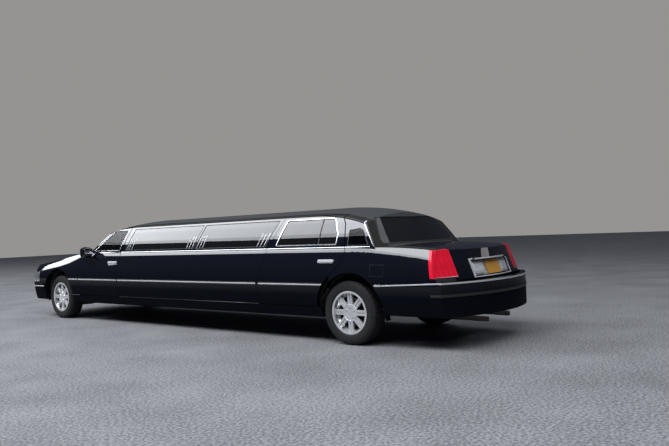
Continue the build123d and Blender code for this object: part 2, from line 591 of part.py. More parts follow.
for side_name, side in SIDES:
    with BuildPart() as fender:
        add(front_half[side])
        add(round_bar(FRONT_ARCH_CENTRE, FRONT_ARCH[2], side * INBOARD, side * FAR), mode=Mode.SUBTRACT)
        add(side_prism(FENDER_OUTLINE, side, near=0.0), mode=Mode.INTERSECT)
        add(side_prism(NOSE_CUT, side, grow=SEAT_GAP, near=0.0), mode=Mode.SUBTRACT)
        add(side_prism(front_door_outline(), side, grow=PANEL_GAP), mode=Mode.SUBTRACT)
        add(plan_view_prism(HOOD_PLAN, LAMP_TOP_Z, ROOF_Z, grow=PANEL_GAP), mode=Mode.SUBTRACT)
    label_and_write(fender, f"fender_{side_name}")

    with BuildPart() as middle:
        add(middle_half[side])
        add(side_prism(MIDDLE_OUTLINE, side, grow=-SEAT_GAP), mode=Mode.INTERSECT)
        for outline in (front_door_outline(), rear_door_outline()):
            add(side_prism(outline, side, grow=PANEL_GAP), mode=Mode.SUBTRACT)
        for pane in (FIRST_PANE, SECOND_PANE):
            add(side_prism(pane, side), mode=Mode.SUBTRACT)
        add(moulding(LONG_SIDE, side))
        add(round_bar(REAR_ARCH_CENTRE, REAR_ARCH[2], side * INBOARD, side * FAR), mode=Mode.SUBTRACT)
    label_and_write(middle, f"side_panel_{side_name}")

    with BuildPart() as quarter:
        add(rear_half[side])
        add(round_bar(REAR_ARCH_CENTRE, REAR_ARCH[2], side * INBOARD, side * FAR), mode=Mode.SUBTRACT)
        add(side_prism(QUARTER_OUTLINE, side, near=0.0), mode=Mode.INTERSECT)
        add(side_prism(TAIL_CUT, side, grow=SEAT_GAP, near=0.0), mode=Mode.SUBTRACT)
        add(side_prism(TAIL_LAMP, side, grow=SEAT_GAP, near=TAIL_LAMP_INNER), mode=Mode.SUBTRACT)
        add(side_prism(MIDDLE_OUTLINE, side), mode=Mode.SUBTRACT)
        add(side_prism(OPERA_PANE, side), mode=Mode.SUBTRACT)
        add(side_prism(rear_door_outline(), side, grow=PANEL_GAP), mode=Mode.SUBTRACT)
        add(end_view_prism(BACKLIGHT_OPENING, REAR_AXLE_Y, FAR, round_radius=40.0), mode=Mode.SUBTRACT)
        add(plan_view_prism(LID_PLAN, 0.0, ROOF_Z, grow=PANEL_GAP), mode=Mode.SUBTRACT)
        add(plan_view_prism(DECK_PLAN, 0.0, BELT_Z + 30.0, grow=SEAT_GAP), mode=Mode.SUBTRACT)
        add(plan_view_prism(CEILING_PLAN, CEILING_FOOT_Z, ROOF_Z, grow=SEAT_GAP), mode=Mode.SUBTRACT)
    label_and_write(quarter, f"quarter_{side_name}")

with BuildPart() as roof:
    add(kept_inside(cabin_wall.part, across_prism(ROOF_OUTLINE, grow=-SEAT_GAP)))
    add(kept_inside(cabin_wall.part, plan_view_prism(CEILING_PLAN, CEILING_FOOT_Z, ROOF_Z)))
    add(front_form(-SEAT_GAP, -SEAT_GAP, 0.0), mode=Mode.SUBTRACT)
    for side_name, side in SIDES:
        add(side_prism(front_door_outline(), side, grow=PANEL_GAP), mode=Mode.SUBTRACT)
    add(end_view_prism(SCREEN_OPENING, -OUT_Y, OUT_Y, round_radius=40.0), mode=Mode.SUBTRACT)
    add(end_view_prism(BACKLIGHT_OPENING, REAR_AXLE_Y, FAR, round_radius=40.0), mode=Mode.SUBTRACT)
label_and_write(roof, "roof")

FIREWALL_Y = FRONT_AXLE_Y + 760.0
COWL_FRONT_Y = HOOD_REAR_Y + PANEL_GAP + SEAT_GAP
COWL_REAR_Y = FRONT_AXLE_Y + 1230.0
COWL_OUTLINE = [
    (COWL_FRONT_Y, COWL_FOOT_Z + SEAT_GAP), (COWL_REAR_Y, COWL_FOOT_Z + SEAT_GAP),
    (COWL_REAR_Y, PILLAR_FOOT_Z), (COWL_FRONT_Y, PILLAR_FOOT_Z + 60.0),
]
FLOOR_Z = 400.0
FLOOR = 12.0
HINGE_X = 600.0
HINGE_WIDE = 70.0
HINGE_LONG = 80.0


def hinge_bracket(side, start_y, end_y, top_z):
    """A square bracket under the back edge of the hood."""
    with BuildPart() as bracket:
        with BuildSketch(Plane.XY.offset(COWL_FOOT_Z)):
            with Locations((side * HINGE_X, (start_y + end_y) / 2)):
                Rectangle(HINGE_WIDE, end_y - start_y)
        extrude(amount=top_z - COWL_FOOT_Z)
    return bracket.part


with BuildPart() as cowl:
    add(front_wall.part)
    add(across_prism(COWL_OUTLINE), mode=Mode.INTERSECT)
    for side_name, side in SIDES:
        add(side_prism(front_door_outline(), side, grow=PANEL_GAP), mode=Mode.SUBTRACT)
        back_y = HOOD_REAR_Y + 4 * PANEL_GAP
        add(kept_inside(hinge_bracket(side, HOOD_REAR_Y - HINGE_LONG, back_y, ROOF_Z), front_space))
        add(hinge_bracket(side, HOOD_REAR_Y + PANEL_GAP + SEAT_GAP, back_y, BELT_Z - TOP_WALL / 2))
label_and_write(cowl, "cowl")

with BuildPart() as hood:
    add(front_wall.part)
    add(plan_view_prism(HOOD_PLAN, LAMP_TOP_Z + PANEL_GAP, ROOF_Z), mode=Mode.INTERSECT)
label_and_write(hood, "hood")

PLATE_RECESS_HALF = 400.0
PLATE_RECESS_TOP_Z = 880.0
PLATE_RECESS_SINK = 16.0
PLATE_RECESS = [(-PLATE_RECESS_HALF, LID_FOOT_Z + 15.0), (PLATE_RECESS_HALF, LID_FOOT_Z + 15.0),
                (PLATE_RECESS_HALF, PLATE_RECESS_TOP_Z), (-PLATE_RECESS_HALF, PLATE_RECESS_TOP_Z)]
with BuildPart() as plate_recess:
    add(end_view_prism(PLATE_RECESS, TAIL[1], FAR, round_radius=24.0))
    add(end_prism(TAIL, PLATE_RECESS_SINK, 1), mode=Mode.SUBTRACT)

with BuildPart() as boot_lid:
    add(rear_wall.part)
    add(plan_view_prism(LID_PLAN, LID_FOOT_Z, ROOF_Z), mode=Mode.INTERSECT)
    add(plate_recess.part, mode=Mode.SUBTRACT)
    for side_name, side in SIDES:
        add(side_prism(TAIL_LAMP, side, grow=PANEL_GAP, near=TAIL_LAMP_INNER), mode=Mode.SUBTRACT)
label_and_write(boot_lid, "boot_lid")

with BuildPart() as windshield:
    add(glass_skin.part)
    add(end_view_prism(SCREEN_OPENING, -OUT_Y, OUT_Y, grow=-SEAT_GAP, round_radius=40.0), mode=Mode.INTERSECT)
label_and_write(windshield, "windshield")

with BuildPart() as rear_window:
    add(glass_skin.part)
    add(end_view_prism(BACKLIGHT_OPENING, REAR_AXLE_Y, FAR, grow=-SEAT_GAP, round_radius=40.0),
        mode=Mode.INTERSECT)
label_and_write(rear_window, "rear_window")

for side_name, side in SIDES:
    with BuildPart() as fixed_glass:
        for pane in (FIRST_PANE, SECOND_PANE, OPERA_PANE):
            add(kept_inside(glass_skin.part, side_prism(pane, side, grow=-SEAT_GAP)))
    label_and_write(fixed_glass, f"side_glass_{side_name}")

# Lamps, cut from the body's own walls.
with BuildPart() as headlamps:
    for side_name, side in SIDES:
        add(kept_inside(front_wall.part, side_prism(HEADLAMP_OUTLINE, side, near=LAMP_INNER)))
label_and_write(headlamps, "headlamps")

with BuildPart() as tail_lamps:
    for side_name, side in SIDES:
        add(kept_inside(rear_wall.part, side_prism(TAIL_LAMP, side, near=TAIL_LAMP_INNER)))
label_and_write(tail_lamps, "tail_lamps")

# Bumpers: thick bowed covers that stand a little proud of the body.
GUARD_PROUD = 8.0
GUARD_WALL = 60.0
FRONT_GUARD_BAND = [(-OUT_Y, GUARD_FOOT_Z), (GUARD_REAR_Y, GUARD_FOOT_Z),
                    (GUARD_REAR_Y, LAMP_FOOT_Z - SEAT_GAP), (-OUT_Y, LAMP_FOOT_Z - SEAT_GAP)]
REAR_GUARD_BAND = [(TAIL_GUARD_FRONT_Y, TAIL_GUARD_FOOT_Z), (OUT_Y, TAIL_GUARD_FOOT_Z),
                   (OUT_Y, TAIL_GUARD_TOP_Z), (TAIL_GUARD_FRONT_Y, TAIL_GUARD_TOP_Z)]
with BuildPart() as front_bumper:
    add(front_form(-GUARD_PROUD, 0.0, 0.0, nose=FRONT_GUARD))
    add(front_form(GUARD_WALL, TOP_WALL, GUARD_WALL, drop=SIDE_WALL, nose=FRONT_GUARD), mode=Mode.SUBTRACT)
    add(across_prism(FRONT_GUARD_BAND), mode=Mode.INTERSECT)
label_and_write(front_bumper, "front_bumper")

with BuildPart() as rear_bumper:
    add(rear_form(-GUARD_PROUD, 0.0, 0.0, tail=REAR_GUARD))
    add(rear_form(GUARD_WALL, TOP_WALL, GUARD_WALL, drop=SIDE_WALL, tail=REAR_GUARD), mode=Mode.SUBTRACT)
    add(across_prism(REAR_GUARD_BAND), mode=Mode.INTERSECT)
label_and_write(rear_bumper, "rear_bumper")

# The grille: an upright frame with thin upright bars.
GRILLE_HALF = LAMP_INNER - 5.0
GRILLE_BARS = 26
GRILLE_FRAME = 26.0
GRILLE_DEEP = 70.0
GRILLE_Y = NOSE_Y + 55.0
with BuildPart() as grille:
    with BuildSketch(Plane.XZ.offset(-GRILLE_Y)):
        with Locations((0, (LAMP_FOOT_Z + LAMP_TOP_Z) / 2)):
            Rectangle(2 * GRILLE_HALF, LAMP_TOP_Z - LAMP_FOOT_Z - SEAT_GAP)
            Rectangle(2 * (GRILLE_HALF - GRILLE_FRAME), LAMP_TOP_Z - LAMP_FOOT_Z - 2 * GRILLE_FRAME,
                      mode=Mode.SUBTRACT)
    extrude(amount=-GRILLE_DEEP)
    with BuildSketch(Plane.XZ.offset(-GRILLE_Y - 8.0)):
        with Locations((0, (LAMP_FOOT_Z + LAMP_TOP_Z) / 2)):
            with GridLocations(2 * (GRILLE_HALF - GRILLE_FRAME) / GRILLE_BARS, 1, GRILLE_BARS, 1):
                Rectangle(8.0, LAMP_TOP_Z - LAMP_FOOT_Z - GRILLE_FRAME)
    extrude(amount=-(GRILLE_DEEP - 20.0))
label_and_write(grille, "grille")

# Floor, frame and running gear.
KICK_Z = FLOOR_Z + 200.0
BOOT_FLOOR_Z = FLOOR_Z + 40.0
FLOOR_SPLIT_Y = REAR_AXLE_Y - 200.0
TOE_Z = FLOOR_Z + 150.0
FLOOR_PATH = [
    (FIREWALL_Y, COWL_FOOT_Z - 10.0), (FIREWALL_Y, TOE_Z), (FIREWALL_Y + 180.0, FLOOR_Z),
    (REAR_AXLE_Y - 480.0, FLOOR_Z), (REAR_AXLE_Y - 330.0, KICK_Z), (FLOOR_SPLIT_Y, KICK_Z),
]
BOOT_PATH = [
    (FLOOR_SPLIT_Y, KICK_Z), (REAR_AXLE_Y + 370.0, KICK_Z), (REAR_AXLE_Y + 490.0, BOOT_FLOOR_Z),
    (TAIL_Y - 400.0, BOOT_FLOOR_Z), (TAIL_Y - 400.0, TAIL_GUARD_TOP_Z),
]
TUB_HALF = 640.0
TUB = 6.0
GEARBOX_FRONT_Y = FRONT_AXLE_Y + 400.0
GEARBOX_REAR_Y = FRONT_AXLE_Y + 1150.0
TUNNEL_ROOM = 12.0


def gearbox_form(grow=0.0):
    """The tapering gearbox, or the tunnel around it when grown."""
    with BuildPart() as form:
        with BuildSketch(Plane.XZ.offset(-GEARBOX_FRONT_Y)):
            with Locations((0, 475.0)):
                RectangleRounded(380.0 + 2 * grow, 300.0 + 2 * grow, 60.0 + grow)
        with BuildSketch(Plane.XZ.offset(-GEARBOX_REAR_Y)):
            with Locations((0, AXLE_Z)):
                RectangleRounded(110.0 + 2 * grow, 76.0 + 2 * grow, 30.0 + grow)
        loft()
    return form.part


def floor_band(points, space):
    """A pressed floor of even thickness along a side-view path, kept inside a space."""
    with BuildPart() as band:
        with BuildSketch(Plane.YZ):
            with BuildLine() as path:
                Polyline(*points)
            trace(path.line, FLOOR)
        extrude(amount=WAIST_HALF, both=True)
        add(space, mode=Mode.INTERSECT)
    return band.part


tunnel_region = [(FIREWALL_Y - FLOOR / 2, FLOOR_Z), (FIREWALL_Y - FLOOR / 2, BELT_Z),
                 (GEARBOX_REAR_Y, BELT_Z), (GEARBOX_REAR_Y, FLOOR_Z)]
with BuildPart() as floor_pan:
    add(floor_band(FLOOR_PATH, middle_space))
    add(floor_band(BOOT_PATH, rear_space))
    add(kept_inside(gearbox_form(TUNNEL_ROOM + FLOOR), across_prism(tunnel_region)))
    add(gearbox_form(TUNNEL_ROOM), mode=Mode.SUBTRACT)
    for side_name, side in SIDES:
        add(round_bar(REAR_ARCH_CENTRE, REAR_ARCH[2] + TUB + SEAT_GAP, side * TUB_HALF, side * FAR),
            mode=Mode.SUBTRACT)
label_and_write(floor_pan, "floor_pan")


def wheel_tub(side, centre, radius, space):
    """A rolled liner over one wheel."""
    with BuildPart() as tub:
        add(round_bar(centre, radius + TUB, side * TUB_HALF, side * WAIST_HALF))
        add(round_bar(centre, radius, side * TUB_HALF, side * FAR), mode=Mode.SUBTRACT)
        with BuildSketch(Plane.XY):
            Rectangle(FAR, 2 * LENGTH)
        extrude(amount=centre[1], mode=Mode.SUBTRACT)
        add(space, mode=Mode.INTERSECT)
    return tub.part


AXLE_NOTCH_HALF = 110.0
AXLE_NOTCH_Z = 430.0
with BuildPart() as wheel_tubs:
    for side_name, side in SIDES:
        add(wheel_tub(side, FRONT_ARCH_CENTRE, FRONT_ARCH[2], front_space))
        add(wheel_tub(side, REAR_ARCH_CENTRE, REAR_ARCH[2], rear_space))
        with BuildSketch(Plane.YZ.offset(side * TUB_HALF)):
            with Locations(REAR_ARCH_CENTRE):
                Circle(REAR_ARCH[2] + TUB)
            with Locations((REAR_AXLE_Y, 0)):
                Rectangle(2 * AXLE_NOTCH_HALF, 2 * AXLE_NOTCH_Z, mode=Mode.SUBTRACT)
            with Locations((REAR_AXLE_Y, 0)):
                Rectangle(FAR, 2 * REAR_ARCH[1], mode=Mode.SUBTRACT)
        extrude(amount=side * TUB)
label_and_write(wheel_tubs, "wheel_tubs")

# Frame: two kicked-up side rails joined by flat cross members.
RAIL_X = 430.0
RAIL_WIDE = 90.0
RAIL_TALL = 100.0
CROSS_TALL = 14.0
FRONT_RAIL_Z = FLOOR_Z + 120.0
LOW_RAIL_Z = FLOOR_Z - FLOOR / 2 - RAIL_TALL / 2
REAR_RAIL_Z = FLOOR_Z + 130.0
TAIL_RAIL_Z = BOOT_FLOOR_Z - FLOOR / 2 - RAIL_TALL / 2
FRAME_PATH = [
    (GUARD_REAR_Y - 230.0, FLOOR_Z + 20.0), (FRONT_AXLE_Y - 420.0, FLOOR_Z + 20.0),
    (FRONT_AXLE_Y - 300.0, FRONT_RAIL_Z), (FRONT_AXLE_Y + 300.0, FRONT_RAIL_Z),
    (FRONT_AXLE_Y + 640.0, LOW_RAIL_Z), (REAR_AXLE_Y - 430.0, LOW_RAIL_Z),
    (REAR_AXLE_Y - 230.0, REAR_RAIL_Z), (REAR_AXLE_Y + 230.0, REAR_RAIL_Z),
    (REAR_AXLE_Y + 430.0, TAIL_RAIL_Z), (TAIL_Y - 340.0, TAIL_RAIL_Z),
]
CROSS_YS = (FRONT_AXLE_Y + 900.0, -1500.0, -600.0, 300.0, 1200.0, REAR_AXLE_Y - 700.0)
LIFT_PAD_YS = (FRONT_AXLE_Y + 1100.0, REAR_AXLE_Y - 900.0)
LIFT_PAD_TALL = 10.0
LIFT_PAD_LONG = 120.0
with BuildPart() as chassis_frame:
    for side_name, side in SIDES:
        with BuildSketch(Plane.YZ.offset(side * RAIL_X)):
            with BuildLine() as path:
                Polyline(*FRAME_PATH)
            trace(path.line, RAIL_TALL)
        extrude(amount=RAIL_WIDE / 2, both=True)
    cross_z = LOW_RAIL_Z - RAIL_TALL / 2 + CROSS_TALL / 2
    for y in CROSS_YS:
        with Locations((0, y, cross_z)):
            Box(2 * RAIL_X, 120.0, CROSS_TALL)
    with Locations((0, FRONT_AXLE_Y - 560.0, FLOOR_Z + 20.0), (0, TAIL_Y - 420.0, TAIL_RAIL_Z - 10.0)):
        Box(2 * RAIL_X, 80.0, 70.0)
    for side_name, side in SIDES:
        for y in LIFT_PAD_YS:
            with Locations((side * RAIL_X, y, LOW_RAIL_Z - RAIL_TALL / 2 - LIFT_PAD_TALL / 2)):
                Box(RAIL_WIDE - 10.0, LIFT_PAD_LONG, LIFT_PAD_TALL)
label_and_write(chassis_frame, "chassis_frame")

# Engine and gearbox as one plain block, with the drive shaft behind it.
SHAFT_RADIUS = 38.0
with BuildPart() as engine:
    with Locations((0, FRONT_AXLE_Y + 20.0, 620.0)):
        Box(560.0, 760.0, 400.0)
    with Locations((0, FRONT_AXLE_Y + 20.0, 365.0)):
        Box(380.0, 620.0, 110.0)
    add(gearbox_form())
label_and_write(engine, "engine_block")

DIFF_RADIUS = 125.0
NOSE_PIECE = 60.0
with BuildPart() as drive_shaft:
    with BuildSketch(Plane.XZ.offset(-(GEARBOX_REAR_Y + SEAT_GAP))):
        with Locations((0, AXLE_Z)):
            Circle(SHAFT_RADIUS)
    extrude(amount=-(REAR_AXLE_Y - GEARBOX_REAR_Y - DIFF_RADIUS - NOSE_PIECE - 2 * SEAT_GAP))
label_and_write(drive_shaft, "drive_shaft")

# Twin exhaust pipes with silencers, hung under the cross members.
PIPE_RADIUS = 24.0
PIPE_X = 250.0
PIPE_Z = 262.0
TIP_RADIUS = 27.0
TIP_LONG = 160.0
TIP_END_Y = TAIL_Y - 160.0
HANGER_TOP_Z = LOW_RAIL_Z - RAIL_TALL / 2 - SEAT_GAP
with BuildPart() as exhaust:
    for side_name, side in SIDES:
        with BuildSketch(Plane.XZ.offset(-(FRONT_AXLE_Y + 700.0))):
            with Locations((side * PIPE_X, PIPE_Z)):
                Circle(PIPE_RADIUS)
        extrude(amount=-(TIP_END_Y - FRONT_AXLE_Y - 700.0))
        with BuildSketch(Plane.XZ.offset(-TIP_END_Y)):
            with Locations((side * PIPE_X, PIPE_Z)):
                Circle(TIP_RADIUS)
        extrude(amount=TIP_LONG)
        with BuildSketch(Plane.XZ):
            with Locations((side * PIPE_X, PIPE_Z - 12.0)):
                RectangleRounded(200.0, 84.0, 40.0)
        extrude(amount=-560.0)
        with BuildSketch(Plane.XY.offset(PIPE_Z)):
            for y in CROSS_YS:
                with Locations((side * PIPE_X, y)):
                    Rectangle(16.0, 40.0)
        extrude(amount=HANGER_TOP_Z - PIPE_Z)
label_and_write(exhaust, "exhaust")

TANK_TALL = 120.0
with BuildPart() as fuel_tank:
    with Locations((0, REAR_AXLE_Y + 775.0, BOOT_FLOOR_Z - FLOOR / 2 - SEAT_GAP - TANK_TALL / 2)):
        Box(2 * (RAIL_X - RAIL_WIDE / 2 - SEAT_GAP), 420.0, TANK_TALL)
    fillet(fuel_tank.edges().filter_by(Axis.Z), 40.0)
label_and_write(fuel_tank, "fuel_tank")

# Rear axle: tubes, a round gear case and a spindle for each wheel, with springs up to the rails.
AXLE_TUBE = 42.0
SPRING_RADIUS = 58.0
SPINDLE_TIP = 40.0
SHIELD_RADIUS = 140.0
SHIELD_THICK = 8.0
with BuildPart() as rear_axle:
    add(round_bar((REAR_AXLE_Y, AXLE_Z), AXLE_TUBE, -REAR_TRACK / 2 + 90.0, REAR_TRACK / 2 - 90.0))
    spindle_half = REAR_TRACK / 2 + SPINDLE_TIP
    add(round_bar((REAR_AXLE_Y, AXLE_Z), SPINDLE_RADIUS, -spindle_half, spindle_half))
    with Locations((0, REAR_AXLE_Y, AXLE_Z)):
        Sphere(DIFF_RADIUS)
    with BuildSketch(Plane.XZ.offset(-(REAR_AXLE_Y - DIFF_RADIUS - NOSE_PIECE))):
        with Locations((0, AXLE_Z)):
            Circle(50.0)
    extrude(amount=-120.0)
    with BuildSketch(Plane.XY.offset(AXLE_Z)):
        with Locations((-RAIL_X, REAR_AXLE_Y), (RAIL_X, REAR_AXLE_Y)):
            Circle(SPRING_RADIUS)
    extrude(amount=REAR_RAIL_Z - RAIL_TALL / 2 - AXLE_Z)
    for side_name, side in SIDES:
        shield_x = side * (REAR_TRACK / 2 - 73.0)
        add(round_bar((REAR_AXLE_Y, AXLE_Z), SHIELD_RADIUS, shield_x, shield_x + side * SHIELD_THICK))
label_and_write(rear_axle, "rear_axle")

# Front suspension: a cross member, two arms each side that hold the knuckle's pins, and spring towers.
KING_X = FRONT_TRACK / 2 - STEER_INSET
PIN_RADIUS = 12.0
ARM_THICK = 26.0
LOWER_ARM_Z = AXLE_Z - 150.0
UPPER_ARM_Z = AXLE_Z + 150.0
ARM_EYE = 28.0
ARM_HALF = 22.0
ARM_REACH = 60.0
ROOT_HALF = 150.0
STRUT_X = KING_X - 150.0
STRUT_RADIUS = 50.0
CROSS_FOOT_Z = LOWER_ARM_Z - ARM_THICK / 2
CROSS_DEEP = 70.0
POST_WIDE = 80.0
with BuildPart() as front_suspension:
    with Locations((0, FRONT_AXLE_Y, CROSS_FOOT_Z + CROSS_DEEP / 2)):
        Box(2 * RAIL_X + POST_WIDE, 180.0, CROSS_DEEP)
    with BuildSketch(Plane.XY.offset(CROSS_FOOT_Z)):
        with Locations((-RAIL_X, FRONT_AXLE_Y), (RAIL_X, FRONT_AXLE_Y)):
            Rectangle(POST_WIDE, 160.0)
    extrude(amount=FRONT_RAIL_Z - RAIL_TALL / 2 - SEAT_GAP - CROSS_FOOT_Z)
    for side_name, side in SIDES:
        for z, root_x in ((LOWER_ARM_Z, RAIL_X), (UPPER_ARM_Z, RAIL_X + RAIL_WIDE / 2 + SEAT_GAP)):
            with BuildSketch(Plane.XY.offset(z - ARM_THICK / 2)):
                with BuildLine():
                    Polyline(
                        (side * root_x, FRONT_AXLE_Y - ROOT_HALF),
                        (side * (KING_X - ARM_REACH), FRONT_AXLE_Y - ARM_HALF),
                        (side * KING_X, FRONT_AXLE_Y - ARM_HALF),
                        (side * KING_X, FRONT_AXLE_Y + ARM_HALF),
                        (side * (KING_X - ARM_REACH), FRONT_AXLE_Y + ARM_HALF),
                        (side * root_x, FRONT_AXLE_Y + ROOT_HALF),
                        close=True)
                make_face()
                with Locations((side * KING_X, FRONT_AXLE_Y)):
                    Circle(ARM_EYE)
                    Circle(PIN_RADIUS + RUNNING_FIT, mode=Mode.SUBTRACT)
            extrude(amount=ARM_THICK)
        with BuildSketch(Plane.XY.offset(LOWER_ARM_Z)):
            with Locations((side * STRUT_X, FRONT_AXLE_Y)):
                Circle(STRUT_RADIUS)
        extrude(amount=UPPER_ARM_Z - LOWER_ARM_Z)
label_and_write(front_suspension, "front_suspension")

for side_name, side in SIDES:
    with BuildPart() as knuckle:
        with BuildSketch(Plane.XY.offset(LOWER_ARM_Z + ARM_THICK / 2 + RUNNING_FIT)):
            with Locations((side * KING_X, FRONT_AXLE_Y)):
                RectangleRounded(44.0, 62.0, 8.0)
        extrude(amount=UPPER_ARM_Z - LOWER_ARM_Z - ARM_THICK - 2 * RUNNING_FIT)
        with BuildSketch(Plane.XY.offset(LOWER_ARM_Z - ARM_THICK / 2)):
            with Locations((side * KING_X, FRONT_AXLE_Y)):
                Circle(PIN_RADIUS)
        extrude(amount=UPPER_ARM_Z - LOWER_ARM_Z + ARM_THICK)
        spindle_x = side * (FRONT_TRACK / 2 + SPINDLE_TIP)
        add(round_bar((FRONT_AXLE_Y, AXLE_Z), SPINDLE_RADIUS, side * KING_X, spindle_x))
        with Locations((side * (KING_X - 10.0), FRONT_AXLE_Y + 90.0, AXLE_Z - 50.0)):
            Box(24.0, 150.0, 24.0)
    label_and_write(knuckle, f"knuckle_{side_name}")

# Wheels: rim, spokes, brake disc and tyre. Their own outward direction is the side's.
HUB_RADIUS = 70.0
HUB_BACK = -16.0
SPOKE_BACK = 56.0
SPOKE_FACE = 74.0
RIB_FACE = 84.0
SPOKE_WIDE = 60.0
RIB_WIDE = 21.0
RIB_APART = 36.0
DISC_RADIUS = 148.0
DISC_BACK = -36.0
SPOKE_START = 40.0
SPOKE_END = 214.0
BARREL = 6.0
SEAT_RADIUS = BEAD_RADIUS - SEAT_GAP
WELL_RADIUS = 195.0
BARREL_OUTLINE = [
    (-RIM_HALF_WIDTH, FLANGE_RADIUS), (-RIM_HALF_WIDTH + 5.0, FLANGE_RADIUS),
    (-RIM_HALF_WIDTH + 6.0, SEAT_RADIUS),
    (-60.0, SEAT_RADIUS), (-40.0, WELL_RADIUS), (20.0, WELL_RADIUS), (45.0, SEAT_RADIUS),
    (RIM_HALF_WIDTH - 6.0, SEAT_RADIUS), (RIM_HALF_WIDTH - 5.0, FLANGE_RADIUS),
    (RIM_HALF_WIDTH, FLANGE_RADIUS),
    (RIM_HALF_WIDTH, SEAT_RADIUS - BARREL), (50.0, SEAT_RADIUS - BARREL), (24.0, WELL_RADIUS - BARREL),
    (-44.0, WELL_RADIUS - BARREL), (-62.0, SEAT_RADIUS - BARREL), (-RIM_HALF_WIDTH, SEAT_RADIUS - BARREL),
]
WHEELS = (
    ("front_left", 1, FRONT_AXLE_Y, FRONT_TRACK), ("front_right", -1, FRONT_AXLE_Y, FRONT_TRACK),
    ("rear_left", 1, REAR_AXLE_Y, REAR_TRACK), ("rear_right", -1, REAR_AXLE_Y, REAR_TRACK),
)
for wheel_name, side, axle_y, track in WHEELS:
    hub_plane = Plane(origin=(side * track / 2, axle_y, AXLE_Z), x_dir=(0, 1, 0), z_dir=(side, 0, 0))
    spin_axis = Axis((side * track / 2, axle_y, AXLE_Z), (side, 0, 0))
    section_plane = Plane(origin=(side * track / 2, axle_y, AXLE_Z), x_dir=(side, 0, 0), z_dir=(0, -side, 0))
    with BuildPart() as rim:
        with BuildSketch(section_plane):
            with BuildLine():
                Polyline(*BARREL_OUTLINE, close=True)
            make_face()
        revolve(axis=spin_axis)
        with BuildSketch(hub_plane.offset(SPOKE_BACK)):
            with PolarLocations((SPOKE_START + SPOKE_END) / 2, SPOKES):
                Rectangle(SPOKE_END - SPOKE_START, SPOKE_WIDE)
            Circle(CAP_RADIUS)
        extrude(amount=SPOKE_FACE - SPOKE_BACK)
        with BuildSketch(hub_plane.offset(SPOKE_FACE)):
            for offset_sign in (-1, 1):
                with PolarLocations(0, SPOKES):
                    with Locations(((SPOKE_START + SPOKE_END) / 2, offset_sign * RIB_APART / 2)):
                        Rectangle(SPOKE_END - SPOKE_START, RIB_WIDE)
            Circle(CAP_RADIUS)
        extrude(amount=RIB_FACE - SPOKE_FACE)
        with BuildSketch(hub_plane.offset(DISC_BACK)):
            Circle(DISC_RADIUS)
        extrude(amount=HUB_BACK - DISC_BACK)
        with BuildSketch(hub_plane.offset(HUB_BACK)):
            Circle(HUB_RADIUS)
        extrude(amount=SPOKE_BACK - HUB_BACK)
        with BuildSketch(hub_plane.offset(DISC_BACK)):
            Circle(SPINDLE_RADIUS + RUNNING_FIT)
        extrude(amount=SPINDLE_TIP + 2.0 - DISC_BACK, mode=Mode.SUBTRACT)
    label_and_write(rim, f"rim_{wheel_name}")

    with BuildPart() as tyre:
        with BuildSketch(section_plane):
            with BuildLine():
                bead = RIM_HALF_WIDTH - 7.0
                Line((-bead, BEAD_RADIUS), (bead, BEAD_RADIUS))
                Line((bead, BEAD_RADIUS), (bead, FLANGE_RADIUS + 2.0))
                ThreePointArc((bead, FLANGE_RADIUS + 2.0), (TYRE_HALF_WIDTH, 285.0),
                              (TYRE_HALF_WIDTH - 12.0, 332.0))
                ThreePointArc((TYRE_HALF_WIDTH - 12.0, 332.0), (TYRE_HALF_WIDTH - 18.0, 344.0),
                              (TYRE_HALF_WIDTH - 32.0, TYRE_RADIUS - 2.0))
                ThreePointArc((TYRE_HALF_WIDTH - 32.0, TYRE_RADIUS - 2.0), (0, TYRE_RADIUS),
                              (32.0 - TYRE_HALF_WIDTH, TYRE_RADIUS - 2.0))
                ThreePointArc((32.0 - TYRE_HALF_WIDTH, TYRE_RADIUS - 2.0), (18.0 - TYRE_HALF_WIDTH, 344.0),
                              (12.0 - TYRE_HALF_WIDTH, 332.0))
                ThreePointArc((12.0 - TYRE_HALF_WIDTH, 332.0), (-TYRE_HALF_WIDTH, 285.0),
                              (-bead, FLANGE_RADIUS + 2.0))
                Line((-bead, FLANGE_RADIUS + 2.0), (-bead, BEAD_RADIUS))
            make_face()
        revolve(axis=spin_axis)
    label_and_write(tyre, f"tyre_{wheel_name}")

# Cabin fittings.
SEAT_PROFILE = [(0.0, 0.0), (0.0, 300.0), (520.0, 250.0), (640.0, 740.0), (760.0, 740.0), (680.0, 240.0),
                (640.0, 0.0)]
REAR_SEAT_PROFILE = [(0.0, 0.0), (0.0, 330.0), (440.0, 290.0), (570.0, 760.0), (700.0, 760.0), (600.0, 200.0),
                     (590.0, 0.0)]
BENCH_PROFILE = [(300.0, 0.0), (300.0, 330.0), (690.0, 290.0), (740.0, 700.0), (800.0, 700.0), (800.0, 0.0)]
DRIVER_SEAT_Y = FRONT_AXLE_Y + 1180.0
FLOOR_TOP_Z = FLOOR_Z + FLOOR / 2
with BuildPart() as front_seats:
    for side_name, side in SIDES:
        with BuildSketch(Plane.YZ.offset(side * 410.0)):
            with BuildLine():
                Polyline(*[(DRIVER_SEAT_Y + y, FLOOR_TOP_Z + z) for y, z in SEAT_PROFILE], close=True)
            make_face()
        extrude(amount=270.0, both=True)
label_and_write(front_seats, "front_seats")

REAR_SEAT_Y = REAR_AXLE_Y - 1090.0
with BuildPart() as rear_seat:
    with BuildSketch(Plane.YZ):
        with BuildLine():
            Polyline(*[(REAR_SEAT_Y + y, FLOOR_TOP_Z + z) for y, z in REAR_SEAT_PROFILE], close=True)
        make_face()
    extrude(amount=700.0, both=True)
label_and_write(rear_seat, "rear_seat")

